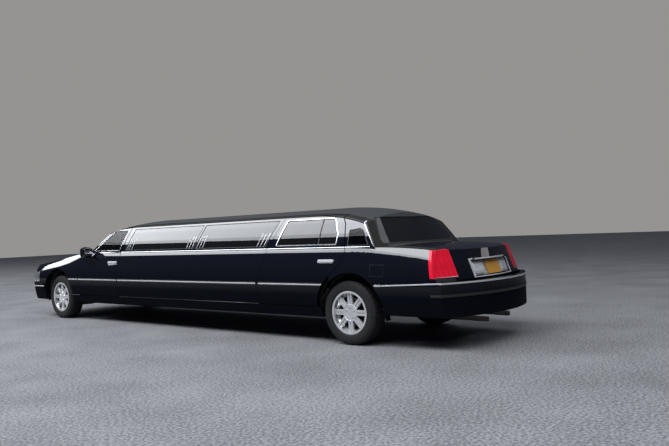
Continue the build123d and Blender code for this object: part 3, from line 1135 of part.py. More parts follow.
BENCH_START_Y = -400.0
with BuildPart() as side_bench:
    with BuildSketch(Plane.XZ.offset(-BENCH_START_Y)):
        with BuildLine():
            Polyline(*[(-x, FLOOR_TOP_Z + z) for x, z in BENCH_PROFILE], close=True)
        make_face()
    extrude(amount=-(REAR_SEAT_Y - SEAT_GAP - BENCH_START_Y - 40.0))
label_and_write(side_bench, "side_bench")

with BuildPart() as bar_cabinet:
    with BuildSketch(Plane.XZ.offset(-BENCH_START_Y)):
        with BuildLine():
            Polyline((560.0, FLOOR_TOP_Z), (560.0, FLOOR_TOP_Z + 420.0), (800.0, FLOOR_TOP_Z + 420.0),
                     (800.0, FLOOR_TOP_Z), close=True)
        make_face()
    extrude(amount=-1500.0)
label_and_write(bar_cabinet, "bar_cabinet")

PARTITION_Y = FRONT_AXLE_Y + 2080.0
with BuildPart() as inner_space:
    add(middle_space)
    add(cabin_form(CABIN_WALL + SEAT_GAP))

with BuildPart() as partition:
    with BuildSketch(Plane.XZ.offset(-PARTITION_Y)):
        with Locations((0, (FLOOR_TOP_Z + ROOF_Z) / 2)):
            Rectangle(2 * WAIST_HALF, ROOF_Z - FLOOR_TOP_Z)
        with Locations((0, BELT_Z + 175.0)):
            RectangleRounded(900.0, 250.0, 30.0, mode=Mode.SUBTRACT)
    extrude(amount=-40.0)
    add(inner_space.part, mode=Mode.INTERSECT)
label_and_write(partition, "partition")

DASH_Y = FIREWALL_Y + FLOOR / 2 + SEAT_GAP
with BuildPart() as dashboard:
    with BuildSketch(Plane.YZ):
        with BuildLine():
            Polyline((DASH_Y, BELT_Z - 110.0), (DASH_Y, BELT_Z - 60.0), (FIREWALL_Y + 200.0, BELT_Z - 40.0),
                     (FIREWALL_Y + 330.0, BELT_Z - 45.0), (FIREWALL_Y + 400.0, BELT_Z - 130.0),
                     (FIREWALL_Y + 330.0, BELT_Z - 330.0), (FIREWALL_Y + 150.0, BELT_Z - 360.0),
                     (DASH_Y, BELT_Z - 300.0), close=True)
        make_face()
    extrude(amount=770.0, both=True)
label_and_write(dashboard, "dashboard")

WHEEL_TILT = 25.0
COLUMN_LONG = 225.0
with BuildPart() as steering_wheel:
    column = Plane(origin=(380.0, FIREWALL_Y + 560.0, BELT_Z - 110.0), x_dir=(1, 0, 0),
                   z_dir=(0, cos(radians(WHEEL_TILT)), sin(radians(WHEEL_TILT))))
    with BuildSketch(column):
        Circle(190.0)
        Circle(162.0, mode=Mode.SUBTRACT)
        Rectangle(350.0, 34.0)
        Circle(60.0)
    extrude(amount=12.0, both=True)
    with BuildSketch(column):
        Circle(26.0)
    extrude(amount=-COLUMN_LONG)
    add(dashboard.part, mode=Mode.SUBTRACT)
label_and_write(steering_wheel, "steering_wheel")

SHELF_Z = BELT_Z - 60.0
BULKHEAD_Y = REAR_SEAT_Y + 850.0
DECK_WEB_HALF = 600.0
SHELF_PATH = [(BULKHEAD_Y, KICK_Z + FLOOR / 2), (BULKHEAD_Y, SHELF_Z), (LID_FRONT_Y - 30.0, SHELF_Z)]
with BuildPart() as parcel_shelf:
    add(floor_band(SHELF_PATH, rear_space))
    add(kept_inside(rear_shell.part, plan_view_prism(DECK_PLAN, SHELF_Z, BELT_Z + 30.0)))
    with BuildSketch(Plane.XY.offset(SHELF_Z)):
        with Locations((0, LID_FRONT_Y - 30.0 - FLOOR / 2)):
            Rectangle(2 * DECK_WEB_HALF, FLOOR)
    extrude(amount=BELT_Z - 10.0 - SHELF_Z)
    for side_name, side in SIDES:
        add(round_bar(REAR_ARCH_CENTRE, REAR_ARCH[2] + TUB + SEAT_GAP, side * TUB_HALF, side * FAR),
            mode=Mode.SUBTRACT)
label_and_write(parcel_shelf, "parcel_shelf")

MIRROR_Y = FRONT_AXLE_Y + 1000.0
MIRROR_Z = BELT_Z + 25.0
MIRROR_ARM_Z = BELT_Z + 28.0
MIRROR_ARM_LONG = 60.0
for side_name, side in SIDES:
    with BuildPart() as mirror:
        with BuildSketch(Plane.YZ.offset(side * 940.0)):
            with Locations((MIRROR_Y, MIRROR_Z)):
                RectangleRounded(70.0, 110.0, 20.0)
        with BuildSketch(Plane.YZ.offset(side * 975.0)):
            with Locations((MIRROR_Y - 5.0, MIRROR_Z)):
                RectangleRounded(110.0, 156.0, 40.0)
        with BuildSketch(Plane.YZ.offset(side * 1105.0)):
            with Locations((MIRROR_Y + 5.0, MIRROR_Z)):
                RectangleRounded(80.0, 130.0, 36.0)
        loft()
        slope = (cabin_side_x(MIRROR_ARM_Z - 1.0) - cabin_side_x(MIRROR_ARM_Z + 1.0)) / 2
        arm_foot = Plane(origin=(side * (cabin_side_x(MIRROR_ARM_Z) + SEAT_GAP), MIRROR_Y + 30.0, MIRROR_ARM_Z),
                         x_dir=(0, 1, 0), z_dir=(side, 0, slope))
        with BuildSketch(arm_foot):
            RectangleRounded(60.0, 36.0, 12.0)
        extrude(amount=MIRROR_ARM_LONG)
    label_and_write(mirror, f"mirror_{side_name}")
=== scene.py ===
"""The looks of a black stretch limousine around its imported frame: paint, glass, bright trim,
lamps, wheels and cabin."""
import math

import bmesh
import bpy
from mathutils import Matrix, Vector


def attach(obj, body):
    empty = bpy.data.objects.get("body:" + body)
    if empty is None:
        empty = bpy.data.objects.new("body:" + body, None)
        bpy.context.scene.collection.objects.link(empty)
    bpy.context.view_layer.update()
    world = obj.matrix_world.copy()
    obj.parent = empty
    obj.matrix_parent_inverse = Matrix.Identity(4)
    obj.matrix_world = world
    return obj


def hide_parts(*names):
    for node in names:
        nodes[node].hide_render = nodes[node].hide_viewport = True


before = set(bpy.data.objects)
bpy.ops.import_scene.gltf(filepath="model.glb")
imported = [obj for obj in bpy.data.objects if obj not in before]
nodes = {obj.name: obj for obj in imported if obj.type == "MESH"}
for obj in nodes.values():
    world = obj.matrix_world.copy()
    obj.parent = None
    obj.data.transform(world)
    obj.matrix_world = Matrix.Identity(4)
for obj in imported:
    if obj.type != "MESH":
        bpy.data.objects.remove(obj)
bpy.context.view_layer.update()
bpy.ops.object.select_all(action="DESELECT")

# The camera stands on the street behind the car's left rear corner, at eye height,
# turned and tilted as the picture was taken, with a moderately wide lens.
EYE = Vector((6.6916, 7.3734, 1.2348))
YAW, PITCH, ROLL = math.radians(39.312), math.radians(0.707), math.radians(-2.411)
SENSOR_WIDE, LENS, SIGHT = 36.0, 36.59, 500.0
ahead = Vector((-math.cos(YAW) * math.cos(PITCH), -math.sin(YAW) * math.cos(PITCH), math.sin(PITCH)))
level = ahead.cross(Vector((0, 0, 1))).normalized()
upright = level.cross(ahead)
rightward = level * math.cos(ROLL) + upright * math.sin(ROLL)
upward = upright * math.cos(ROLL) - level * math.sin(ROLL)
bpy.ops.object.camera_add(location=EYE)
camera = bpy.context.object
camera.name = "camera"
camera.matrix_world = Matrix(
    ((rightward.x, upward.x, -ahead.x, EYE.x), (rightward.y, upward.y, -ahead.y, EYE.y),
     (rightward.z, upward.z, -ahead.z, EYE.z), (0, 0, 0, 1)))
camera.data.sensor_width = SENSOR_WIDE
camera.data.lens = LENS
camera.data.clip_end = SIGHT
bpy.context.scene.camera = camera
bpy.context.scene.view_settings.view_transform = "Standard"


# The stage is a level road-grey floor in a plain grey room. Three long soft panels hang
# side by side high on the car's left, and a weaker one hangs on its right.
def add_node(tree, kind, inputs=None, **settings):
    """One node of a material, with its settings and its sockets' values or links."""
    made = tree.nodes.new(f"ShaderNode{kind}")
    for name, value in settings.items():
        setattr(made, name, value)
    for name, value in (inputs or {}).items():
        if isinstance(value, bpy.types.NodeSocket):
            tree.links.new(value, made.inputs[name])
        else:
            made.inputs[name].default_value = value
    return made


def add_noise(tree, place, scale, detail, **inputs):
    """A noise of one scale over a material, from 0 to 1."""
    given = {"Vector": place, "Scale": scale, "Detail": detail, **inputs}
    return add_node(tree, "TexNoise", given).outputs["Fac"]


def add_mix(tree, share, first, second):
    """A number that goes from a first to a second by a share."""
    return add_node(tree, "Mix", {0: share, 2: first, 3: second}).outputs[0]


def add_surface(tree, output, inputs):
    """The surface of a material, with its sockets' values or links."""
    surface = add_node(tree, "BsdfPrincipled", inputs)
    tree.links.new(surface.outputs["BSDF"], output.inputs["Surface"])


def add_ramp(tree, factor, *stops):
    """A colour ramp through its stops, each a position and a colour, the lowest first."""
    ramp = add_node(tree, "ValToRGB", {"Fac": factor})
    elements = ramp.color_ramp.elements
    for element, (position, colour) in zip((elements[0], elements[-1]), (stops[0], stops[-1])):
        element.position = position
        element.color = (*colour, 1)
    for position, colour in stops[1:-1]:
        elements.new(position).color = (*colour, 1)
    return ramp.outputs["Color"]


def new_material(name):
    """An empty material with its output node."""
    material = bpy.data.materials.new(name)
    material.use_nodes = True
    material.node_tree.nodes.clear()
    return material, material.node_tree, add_node(material.node_tree, "OutputMaterial")


FLOOR_SIZE, FLOOR_DROP = 120.0, 0.001
PATCH_SCALE, STONE_SCALE, STONE_SHARE = 1.1, 46.0, 0.8
bpy.ops.mesh.primitive_plane_add(size=FLOOR_SIZE, location=(0, 0, -FLOOR_DROP))
floor = bpy.context.object
floor.name = "studio_floor"
floor_material, tree, output = new_material("road_floor")
place = add_node(tree, "TexCoord").outputs["Object"]
mottle = add_noise(tree, place, PATCH_SCALE, 6.0)
stones = add_noise(tree, place, STONE_SCALE, 5.0)
both = add_mix(tree, STONE_SHARE, mottle, stones)
shade = add_ramp(tree, both, (0.40, (0.085, 0.086, 0.092)), (0.62, (0.275, 0.276, 0.285)))
add_surface(tree, output, {"Base Color": shade, "Roughness": 0.7})
floor.data.materials.append(floor_material)


def add_tint(tree, share, first, second):
    """A colour that goes from a first to a second by a share."""
    return add_node(tree, "Mix", {"Factor": share, 6: first, 7: second}, data_type="RGBA").outputs[2]


BACKDROP = (0.30, 0.295, 0.285, 1)
world = bpy.data.worlds.new("soft_room")
bpy.context.scene.world = world
world.use_nodes = True
tree = world.node_tree
tree.nodes.clear()
place = add_node(tree, "TexCoord").outputs["Generated"]
height = add_node(tree, "SeparateXYZ", {"Vector": place}).outputs["Z"]
room = add_ramp(tree, height, (0.0, (0.04, 0.043, 0.055)), (0.50, (0.045, 0.05, 0.068)),
                (0.68, (0.10, 0.108, 0.13)), (0.80, (0.34, 0.36, 0.40)))
seen = add_node(tree, "LightPath").outputs["Is Camera Ray"]
backdrop = add_tint(tree, seen, room, BACKDROP)
glow = add_node(tree, "Background", {"Color": backdrop, "Strength": 1.0})
add_node(tree, "OutputWorld", {"Surface": glow.outputs["Background"]})

# Each panel: name, side, rise over the windows in degrees, width, first and last place
# along the car, and brightness.
PANEL_AWAY, PANEL_TONE = 12.0, (0.92, 0.95, 1.0)
WINDOW_OUT, WINDOW_HEIGHT = 0.85, 1.3
PANELS = (
    ("left_foot_panel", 1, 43.2, 0.75, -36.0, 14.0, 5.0),
    ("left_low_panel", 1, 51.0, 2.52, -36.0, 14.0, 7.0),
    ("left_high_panel", 1, 64.5, 3.16, -36.0, 14.0, 7.6),
    ("right_panel", -1, 57.0, 4.4, -20.0, 16.0, 1.0),
)
for name, side, rise, wide, first, last, brightness in PANELS:
    rise = math.radians(rise)
    spot = (side * (WINDOW_OUT + PANEL_AWAY * math.cos(rise)), (first + last) / 2,
            WINDOW_HEIGHT + PANEL_AWAY * math.sin(rise))
    bpy.ops.object.light_add(type="AREA", location=spot, rotation=(0, side * (math.pi / 2 - rise), 0))
    panel = bpy.context.object
    panel.name = name
    panel.data.shape = "RECTANGLE"
    panel.data.size = wide
    panel.data.size_y = last - first
    panel.data.energy = brightness * math.pi * wide * (last - first)
    panel.data.color = PANEL_TONE

# A small card low on the far side gives the boot lid and the plated parts their glints.
CARD_SPOT, CARD_AIM = Vector((-11.0, 10.0, 4.6)), Vector((0.0, 3.9, 0.9))
CARD_WIDE, CARD_TALL, CARD_BRIGHTNESS = 3.4, 0.8, 0.8
bpy.ops.object.light_add(type="AREA", location=CARD_SPOT)
card = bpy.context.object
card.name = "glint_card"
card.rotation_euler = (CARD_SPOT - CARD_AIM).to_track_quat("Z", "Y").to_euler()
card.data.shape = "ELLIPSE"
card.data.size, card.data.size_y = CARD_WIDE, CARD_TALL
card.data.energy = CARD_BRIGHTNESS * math.pi * CARD_WIDE * CARD_TALL


# The chassis is a welded ladder of dull black rails that carries the engine, shafts,
# tank and axles. All of it is painted or bare metal under a coat of road dirt.
def new_group(name, wanted, given):
    """An empty node group with named inputs and outputs."""
    group = bpy.data.node_groups.new(name, "ShaderNodeTree")
    for label, kind, value in wanted:
        socket = group.interface.new_socket(label, in_out="INPUT", socket_type=kind)
        socket.default_value = value
    for label, kind in given:
        group.interface.new_socket(label, in_out="OUTPUT", socket_type=kind)
    return group, group.nodes.new("NodeGroupInput"), group.nodes.new("NodeGroupOutput")


def add_math(tree, operation, *terms, **settings):
    """The result of one sum over numbers or sockets."""
    return add_node(tree, "Math", dict(enumerate(terms)), operation=operation,
                    **settings).outputs[0]


def add_range(tree, value, given=(0.0, 1.0), wanted=(0.0, 1.0)):
    """A value brought from one range to another, and held inside it."""
    ends = {"From Min": given[0], "From Max": given[1], "To Min": wanted[0], "To Max": wanted[1]}
    return add_node(tree, "MapRange", {"Value": value, **ends}).outputs["Result"]


COLOUR, NUMBER, ARROW = "NodeSocketColor", "NodeSocketFloat", "NodeSocketVector"
grime, given, out = new_group(
    "road_grime",
    [("Colour", COLOUR, (0.02, 0.02, 0.02, 1)), ("Dirt Colour", COLOUR, (0.10, 0.09, 0.08, 1)),
     ("Clean Height", NUMBER, 0.6), ("Amount", NUMBER, 0.5), ("Roughness", NUMBER, 0.4),
     ("Scale", NUMBER, 9.0)],
    [("Colour", COLOUR), ("Roughness", NUMBER), ("Mask", NUMBER)])
place = add_node(grime, "TexCoord").outputs["Object"]
height = add_node(grime, "SeparateXYZ", {"Vector": place}).outputs["Z"]
low = add_range(grime, height, (given.outputs["Clean Height"], 0.05))
patches = add_noise(grime, place, given.outputs["Scale"], 8.0, Roughness=0.65)
spread = add_range(grime, patches, (0.35, 0.7), (0.35, 1.0))
both = add_math(grime, "MULTIPLY", low, spread)
mask = add_math(grime, "MULTIPLY", both, given.outputs["Amount"], use_clamp=True)
dirty = add_tint(grime, mask, given.outputs["Colour"], given.outputs["Dirt Colour"])
duller = add_mix(grime, mask, given.outputs["Roughness"], 0.85)
grime.links.new(dirty, out.inputs["Colour"])
grime.links.new(duller, out.inputs["Roughness"])
grime.links.new(mask, out.inputs["Mask"])

relief, given, out = new_group(
    "fine_grain",
    [("Scale", NUMBER, 200.0), ("Depth", NUMBER, 0.2)], [("Normal", ARROW), ("Height", NUMBER)])
place = add_node(relief, "TexCoord").outputs["Object"]
pebbles = add_noise(relief, place, given.outputs["Scale"], 3.0)
bump = add_node(relief, "Bump", {"Strength": given.outputs["Depth"], "Distance": 0.001, "Height": pebbles})
relief.links.new(bump.outputs["Normal"], out.inputs["Normal"])
relief.links.new(pebbles, out.inputs["Height"])


def add_grain(tree, scale, depth):
    """The fine grain of a surface, with its normal and its height."""
    return add_node(tree, "Group", {"Scale": scale, "Depth": depth}, node_tree=relief).outputs


def dirty_finish(name, colour, roughness, metallic=0.0, clean_height=0.9, amount=0.6,
                 grain=(60.0, 0.2), coat=0.0):
    """A painted, cast or rolled finish under road dirt. Its grain is a scale and a depth."""
    material, tree, output = new_material(name)
    dirt = add_node(tree, "Group",
                    {"Colour": (*colour, 1), "Clean Height": clean_height, "Amount": amount,
                     "Roughness": roughness, "Dirt Colour": (0.085, 0.078, 0.07, 1)}, node_tree=grime)
    fine = add_grain(tree, *grain)
    add_surface(tree, output,
                {"Base Color": dirt.outputs["Colour"], "Roughness": dirt.outputs["Roughness"],
                 "Normal": fine["Normal"], "Metallic": metallic, "Coat Weight": coat,
                 "Coat Roughness": 0.05})
    return material


def wear(material, *names):
    """Gives CAD nodes a material."""
    for name in names:
        mesh = nodes[name].data
        mesh.materials.clear()
        mesh.materials.append(material)


chassis_paint = dirty_finish("chassis_paint", (0.022, 0.022, 0.024), 0.5, amount=0.75)
cast_metal = dirty_finish("cast_metal", (0.16, 0.155, 0.15), 0.55, metallic=0.7, grain=(140.0, 0.5))
pipe_steel = dirty_finish("pipe_steel", (0.10, 0.09, 0.082), 0.55, metallic=0.8, grain=(90.0, 0.25),
                          clean_height=0.5)
dull_moulding = dirty_finish("dull_moulding", (0.018, 0.018, 0.019), 0.75, amount=0.6, grain=(260.0, 0.35))
wear(chassis_paint, "chassis_frame", "front_suspension", "floor_pan")
wear(cast_metal, "engine_block", "rear_axle", "knuckle_left", "knuckle_right")
wear(pipe_steel, "drive_shaft", "exhaust")
wear(dull_moulding, "fuel_tank", "wheel_tubs")


# The wheels are cast alloy with eight twin-rib spokes and a plain bare centre cap. Each is
# held by five plated nuts and carries patches of brake dust. The deep parts between its ribs
# are painted dark as shade.
def active_piece(name, material, body):
    """Names the active object, puts its place into its mesh, and hangs it on a body."""
    piece = bpy.context.object
    piece.name = name
    bpy.ops.object.transform_apply(location=True, rotation=True, scale=True)
    piece.data.materials.clear()
    piece.data.materials.append(material)
    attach(piece, body)
    piece.select_set(False)
    return piece


def apply_modifier(piece, kind, **settings):
    """Adds one modifier to a piece and applies it."""
    bpy.ops.object.select_all(action="DESELECT")
    bpy.context.view_layer.objects.active = piece
    piece.select_set(True)
    modifier = piece.modifiers.new(kind.lower(), kind)
    for name, value in settings.items():
        setattr(modifier, name, value)
    bpy.ops.object.modifier_apply(modifier=modifier.name)
    piece.select_set(False)


RECESS_SHADE_FROM, RECESS_SHADE_TO = 0.845, 0.872
wheel_alloy, tree, output = new_material("wheel_alloy")
place = add_node(tree, "TexCoord").outputs["Object"]
dusty = add_range(tree, add_noise(tree, place, 14.0, 6.0), (0.42, 0.75), (0.0, 0.4))
tint = add_tint(tree, dusty, (0.72, 0.73, 0.74, 1), (0.36, 0.34, 0.32, 1))
# Everything further in than the face of the spokes is painted near black: painted shade in the wheel's
# recesses.
across = add_node(tree, "SeparateXYZ", {"Vector": place}).outputs["X"]
outward = add_math(tree, "ABSOLUTE", across)
depth = add_range(tree, outward, (RECESS_SHADE_FROM, RECESS_SHADE_TO))
alloy_with_painted_shade = add_tint(tree, depth, (0.02, 0.019, 0.018, 1), tint)
fine = add_grain(tree, 900.0, 0.05)
add_surface(tree, output,
            {"Base Color": alloy_with_painted_shade, "Roughness": 0.25, "Metallic": 0.6,
             "Normal": fine["Normal"], "Coat Weight": 0.5, "Coat Roughness": 0.08})
wear(wheel_alloy, "rim_front_left", "rim_front_right", "rim_rear_left", "rim_rear_right")

bright_plate, tree, output = new_material("bright_plate")
place = add_node(tree, "TexCoord").outputs["Object"]
hazy = add_range(tree, add_noise(tree, place, 22.0, 5.0), wanted=(0.05, 0.17))
add_surface(tree, output, {"Base Color": (0.80, 0.81, 0.83, 1), "Metallic": 1.0, "Roughness": hazy})

bright_satin = dirty_finish("bright_satin", (0.72, 0.73, 0.75), 0.24, metallic=0.45, clean_height=0.5,
                            amount=0.2, grain=(300.0, 0.05), coat=0.6)

# Each wheel: name, side, its axle along the car, and the middle of its hub across the car.
WHEELS = (
    ("front_left", 1, -3.230, 0.805), ("front_right", -1, -3.230, 0.805),
    ("rear_left", 1, 2.810, 0.833), ("rear_right", -1, 2.810, 0.833),
)
HUB_HEIGHT, CAP_OUT = 0.351, 0.0845
NUTS, NUT_CIRCLE, NUT_RADIUS, NUT_TALL = 5, 0.057, 0.0105, 0.012
CAP_RADIUS, CAP_RIM = 0.088, 0.0028
for wheel_name, side, axle_y, hub_x in WHEELS:
    cap_x = side * (hub_x + CAP_OUT)
    for count in range(NUTS):
        angle = 2 * math.pi * (count + 0.25) / NUTS
        spot = (cap_x, axle_y + NUT_CIRCLE * math.cos(angle), HUB_HEIGHT + NUT_CIRCLE * math.sin(angle))
        bpy.ops.mesh.primitive_cylinder_add(vertices=6, radius=NUT_RADIUS, depth=NUT_TALL, location=spot,
                                            rotation=(0, math.pi / 2, 0))
        bpy.ops.object.transform_apply(location=False, rotation=True, scale=True)
        apply_modifier(bpy.context.object, "BEVEL", width=0.002, segments=2)
        bpy.context.object.select_set(True)
        active_piece(f"nut_{wheel_name}_{count}", bright_plate, f"wheel_{wheel_name}")
    bpy.ops.mesh.primitive_torus_add(major_radius=CAP_RADIUS, minor_radius=CAP_RIM, major_segments=64,
                                     minor_segments=10, location=(cap_x, axle_y, HUB_HEIGHT),
                                     rotation=(0, math.pi / 2, 0))
    bpy.ops.object.shade_smooth()
    active_piece(f"cap_ring_{wheel_name}", wheel_alloy, f"wheel_{wheel_name}")


# The tyres are black rubber, dull with road dust, with a smooth bulged sidewall, four
# grooves round the tread and short slots across its shoulders.
tyre_rubber, tree, output = new_material("tyre_rubber")
dirt = add_node(tree, "Group",
                {"Colour": (0.011, 0.011, 0.012, 1), "Clean Height": 2.5, "Amount": 0.14,
                 "Roughness": 0.72, "Dirt Colour": (0.075, 0.07, 0.065, 1), "Scale": 16.0}, node_tree=grime)
fine = add_grain(tree, 350.0, 0.3)
add_surface(tree, output,
            {"Base Color": dirt.outputs["Colour"], "Roughness": dirt.outputs["Roughness"],
             "Normal": fine["Normal"], "Specular IOR Level": 0.25})

TREAD_STEPS, SLOT_EVERY = 120, 3
TREAD_FROM, SLOT_EDGE, SLOT_DEPTH = 0.335, 0.0035, 0.0065
SHOULDER_BAND, INNER_BAND = (0.056, 0.0985), (0.018, 0.044)
# Half of the tyre's section, from its inner bead to the middle: place across, and radius.
TYRE_SHAPE = (
    (-0.096, 0.2190), (-0.096, 0.2370), (-0.1035, 0.2480), (-0.1085, 0.2550), (-0.1075, 0.2600),
    (-0.1115, 0.2780), (-0.1120, 0.2900), (-0.1105, 0.3080), (-0.1075, 0.3180), (-0.1050, 0.3185),
    (-0.1035, 0.3250), (-0.0985, 0.3350), (-0.0930, 0.3425), (-0.0820, 0.3480), (-0.0560, 0.3500),
    (-0.0545, 0.3420), (-0.0455, 0.3420), (-0.0440, 0.3503), (-0.0180, 0.3508), (-0.0165, 0.3425),
    (-0.0075, 0.3425), (-0.0060, 0.3509), (0.0060, 0.3509),
)


def is_slot(spot, hub_x, axle_y):
    """True for a face of the tread, by its middle, that a slot is pressed into."""
    across = abs(spot.x - hub_x)
    away = math.hypot(spot.y - axle_y, spot.z - HUB_HEIGHT)
    turn = math.atan2(spot.z - HUB_HEIGHT, spot.y - axle_y) * TREAD_STEPS / (2 * math.pi)
    in_band = any(first < across < last for first, last in (SHOULDER_BAND, INNER_BAND))
    return away > TREAD_FROM and in_band and math.floor(turn) % SLOT_EVERY == 0


for wheel_name, side, axle_y, hub_x in WHEELS:
    outline = list(TYRE_SHAPE) + [(-x, r) for x, r in reversed(TYRE_SHAPE)]
    mesh = bpy.data.meshes.new(f"tyre_{wheel_name}")
    tyre = bpy.data.objects.new(f"road_tyre_{wheel_name}", mesh)
    bpy.context.scene.collection.objects.link(tyre)
    shape = bmesh.new()
    ring = [shape.verts.new((hub_x * side + x, axle_y, HUB_HEIGHT + r)) for x, r in outline]
    edges = [shape.edges.new((ring[i], ring[(i + 1) % len(ring)])) for i in range(len(ring))]
    bmesh.ops.spin(shape, geom=ring + edges, cent=(hub_x * side, axle_y, HUB_HEIGHT), axis=(1, 0, 0),
                   angle=2 * math.pi, steps=TREAD_STEPS, use_duplicate=False)
    bmesh.ops.remove_doubles(shape, verts=shape.verts, dist=0.0002)
    slots = [face for face in shape.faces if is_slot(face.calc_center_median(), hub_x * side, axle_y)]
    bmesh.ops.inset_individual(shape, faces=slots, thickness=SLOT_EDGE, use_even_offset=True)
    for face in slots:
        for corner in face.verts:
            inward = Vector((0, axle_y - corner.co.y, HUB_HEIGHT - corner.co.z)).normalized()
            corner.co += inward * SLOT_DEPTH
    bmesh.ops.recalc_face_normals(shape, faces=shape.faces)
    shape.to_mesh(mesh)
    shape.free()
    bpy.context.view_layer.objects.active = tyre
    tyre.select_set(True)
    bpy.ops.object.shade_smooth_by_angle(angle=math.radians(35))
    active_piece(tyre.name, tyre_rubber, f"wheel_{wheel_name}")
    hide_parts(f"tyre_{wheel_name}")


# The body is pressed steel under deep black clear-coated paint that mirrors the sky above
# the waist, with trimmed inner sides on the doors. A dry film of road dust dulls its foot.
TRIM_LINE = ((0.285, 0.868), (0.65, 0.94), (0.95, 0.89), (1.0, 0.86))
BELT_HEIGHT, BELT_OUT, EAVE_HEIGHT, EAVE_OUT = 1.045, 0.905, 1.425, 0.735
COVER_OUT, COVER_FROM = 0.662, 1.33
inner_side, given, out = new_group(
    "inner_side", [("Depth", NUMBER, 0.007)], [("Mask", NUMBER), ("Roof", NUMBER)])
place = add_node(inner_side, "TexCoord").outputs["Object"]
part = add_node(inner_side, "SeparateXYZ", {"Vector": place})
out_x = add_math(inner_side, "ABSOLUTE", part.outputs["X"])
wall = add_node(inner_side, "FloatCurve", {"Value": part.outputs["Z"]})
curve = wall.mapping.curves[0]
curve.points[0].location = TRIM_LINE[0]
curve.points[1].location = TRIM_LINE[-1]
for height, reach in TRIM_LINE[1:-1]:
    curve.points.new(height, reach)
wall.mapping.update()
lean = add_range(inner_side, part.outputs["Z"], (BELT_HEIGHT, EAVE_HEIGHT), (BELT_OUT, EAVE_OUT))
above = add_math(inner_side, "GREATER_THAN", part.outputs["Z"], BELT_HEIGHT + 0.001)
edge = add_mix(inner_side, above, wall.outputs["Value"], lean)
inset = add_math(inner_side, "SUBTRACT", edge, given.outputs["Depth"])
inside = add_math(inner_side, "LESS_THAN", out_x, inset)
narrow = add_math(inner_side, "LESS_THAN", out_x, COVER_OUT)
high = add_math(inner_side, "GREATER_THAN", part.outputs["Z"], COVER_FROM)
covered = add_math(inner_side, "MULTIPLY", narrow, high)
inner_side.links.new(inside, out.inputs["Mask"])
inner_side.links.new(covered, out.inputs["Roof"])


def black_paint(name, trimmed=False, covered=False):
    """Black clear-coated paint, with a trimmed inner side or a dull roof cover where asked."""
    material, tree, output = new_material(name)
    dirt = add_node(tree, "Group",
                    {"Colour": (0.0028, 0.0036, 0.0070, 1), "Clean Height": 0.45, "Amount": 0.05,
                     "Roughness": 0.2, "Dirt Colour": (0.06, 0.057, 0.053, 1), "Scale": 5.0},
                    node_tree=grime)
    colour, rough = dirt.outputs["Colour"], dirt.outputs["Roughness"]
    clean = add_math(tree, "SUBTRACT", 1.0, dirt.outputs["Mask"])
    place = add_node(tree, "TexCoord").outputs["Object"]
    height = add_node(tree, "SeparateXYZ", {"Vector": place}).outputs["Z"]
    film = add_range(tree, height, (0.54, 0.84), (0.05, 1.0))
    coat = add_math(tree, "MULTIPLY", clean, film)
    where = add_node(tree, "Group", node_tree=inner_side)
    for wanted, label, new_colour, new_rough in (
            (trimmed, "Mask", (0.030, 0.029, 0.028, 1), 0.62),
            (covered, "Roof", (0.050, 0.053, 0.055, 1), 0.62)):
        if wanted:
            share = where.outputs[label]
            colour = add_tint(tree, share, colour, new_colour)
            rough = add_mix(tree, share, rough, new_rough)
            coat = add_mix(tree, share, coat, 0.0)
    add_surface(tree, output,
                {"Base Color": colour, "Roughness": rough, "Coat Weight": coat,
                 "Coat Roughness": 0.015, "Coat IOR": 1.75, "Specular IOR Level": 0.0})
    return material


body_paint = black_paint("body_paint")
door_paint = black_paint("door_paint", trimmed=True)
roof_paint = black_paint("roof_paint", trimmed=True, covered=True)
wear(body_paint, "fender_left", "fender_right", "hood", "boot_lid", "cowl", "front_bumper", "rear_bumper",
     "mirror_left", "mirror_right")
wear(door_paint, "door_front_left", "door_front_right", "door_rear_left", "door_rear_right",
     "side_panel_left", "side_panel_right", "quarter_left", "quarter_right")
wear(roof_paint, "roof")


# The side and rear glass is dark tinted safety glass bonded into black rubber. The
# windscreen is only lightly tinted, so that the dashboard shows through it.
REAR_PANE_START = 2.70
GLASS_INDEX = 1.52


def window_glass(name, tint, clear, rear_pane_share=1.0, sheen=0.6):
    """Tinted glass that mirrors the room and lets a share of the light through."""
    material, tree, output = new_material(name)
    place = add_node(tree, "TexCoord").outputs["Object"]
    ripple = add_noise(tree, place, 1.6, 1.0)
    wave = add_node(tree, "Bump", {"Strength": 0.25, "Distance": 0.004, "Height": ripple})
    film = add_range(tree, add_noise(tree, place, 7.0, 8.0), (0.5, 0.8), (0.0, 0.05))
    see_through = add_node(tree, "BsdfTransparent", {"Color": (*tint, 1)})
    pane = add_node(tree, "BsdfPrincipled",
                    {"Base Color": (0.006, 0.0065, 0.0075, 1), "Roughness": 0.02, "IOR": GLASS_INDEX,
                     "Normal": wave.outputs["Normal"], "Coat Weight": sheen, "Coat Roughness": 0.015})
    mirror = add_node(tree, "Fresnel", {"IOR": GLASS_INDEX, "Normal": wave.outputs["Normal"]})
    share = add_math(tree, "ADD", mirror.outputs["Fac"], 1.0 - clear)
    cover = add_math(tree, "ADD", share, film, use_clamp=True)
    along = add_node(tree, "SeparateXYZ", {"Vector": place}).outputs["Y"]
    behind = add_math(tree, "GREATER_THAN", along, REAR_PANE_START)
    held = add_mix(tree, behind, 1.0, rear_pane_share)
    final = add_math(tree, "MULTIPLY", cover, held)
    both = add_node(tree, "MixShader",
                    {0: final, 1: see_through.outputs[0], 2: pane.outputs[0]})
    tree.links.new(both.outputs[0], output.inputs["Surface"])
    return material


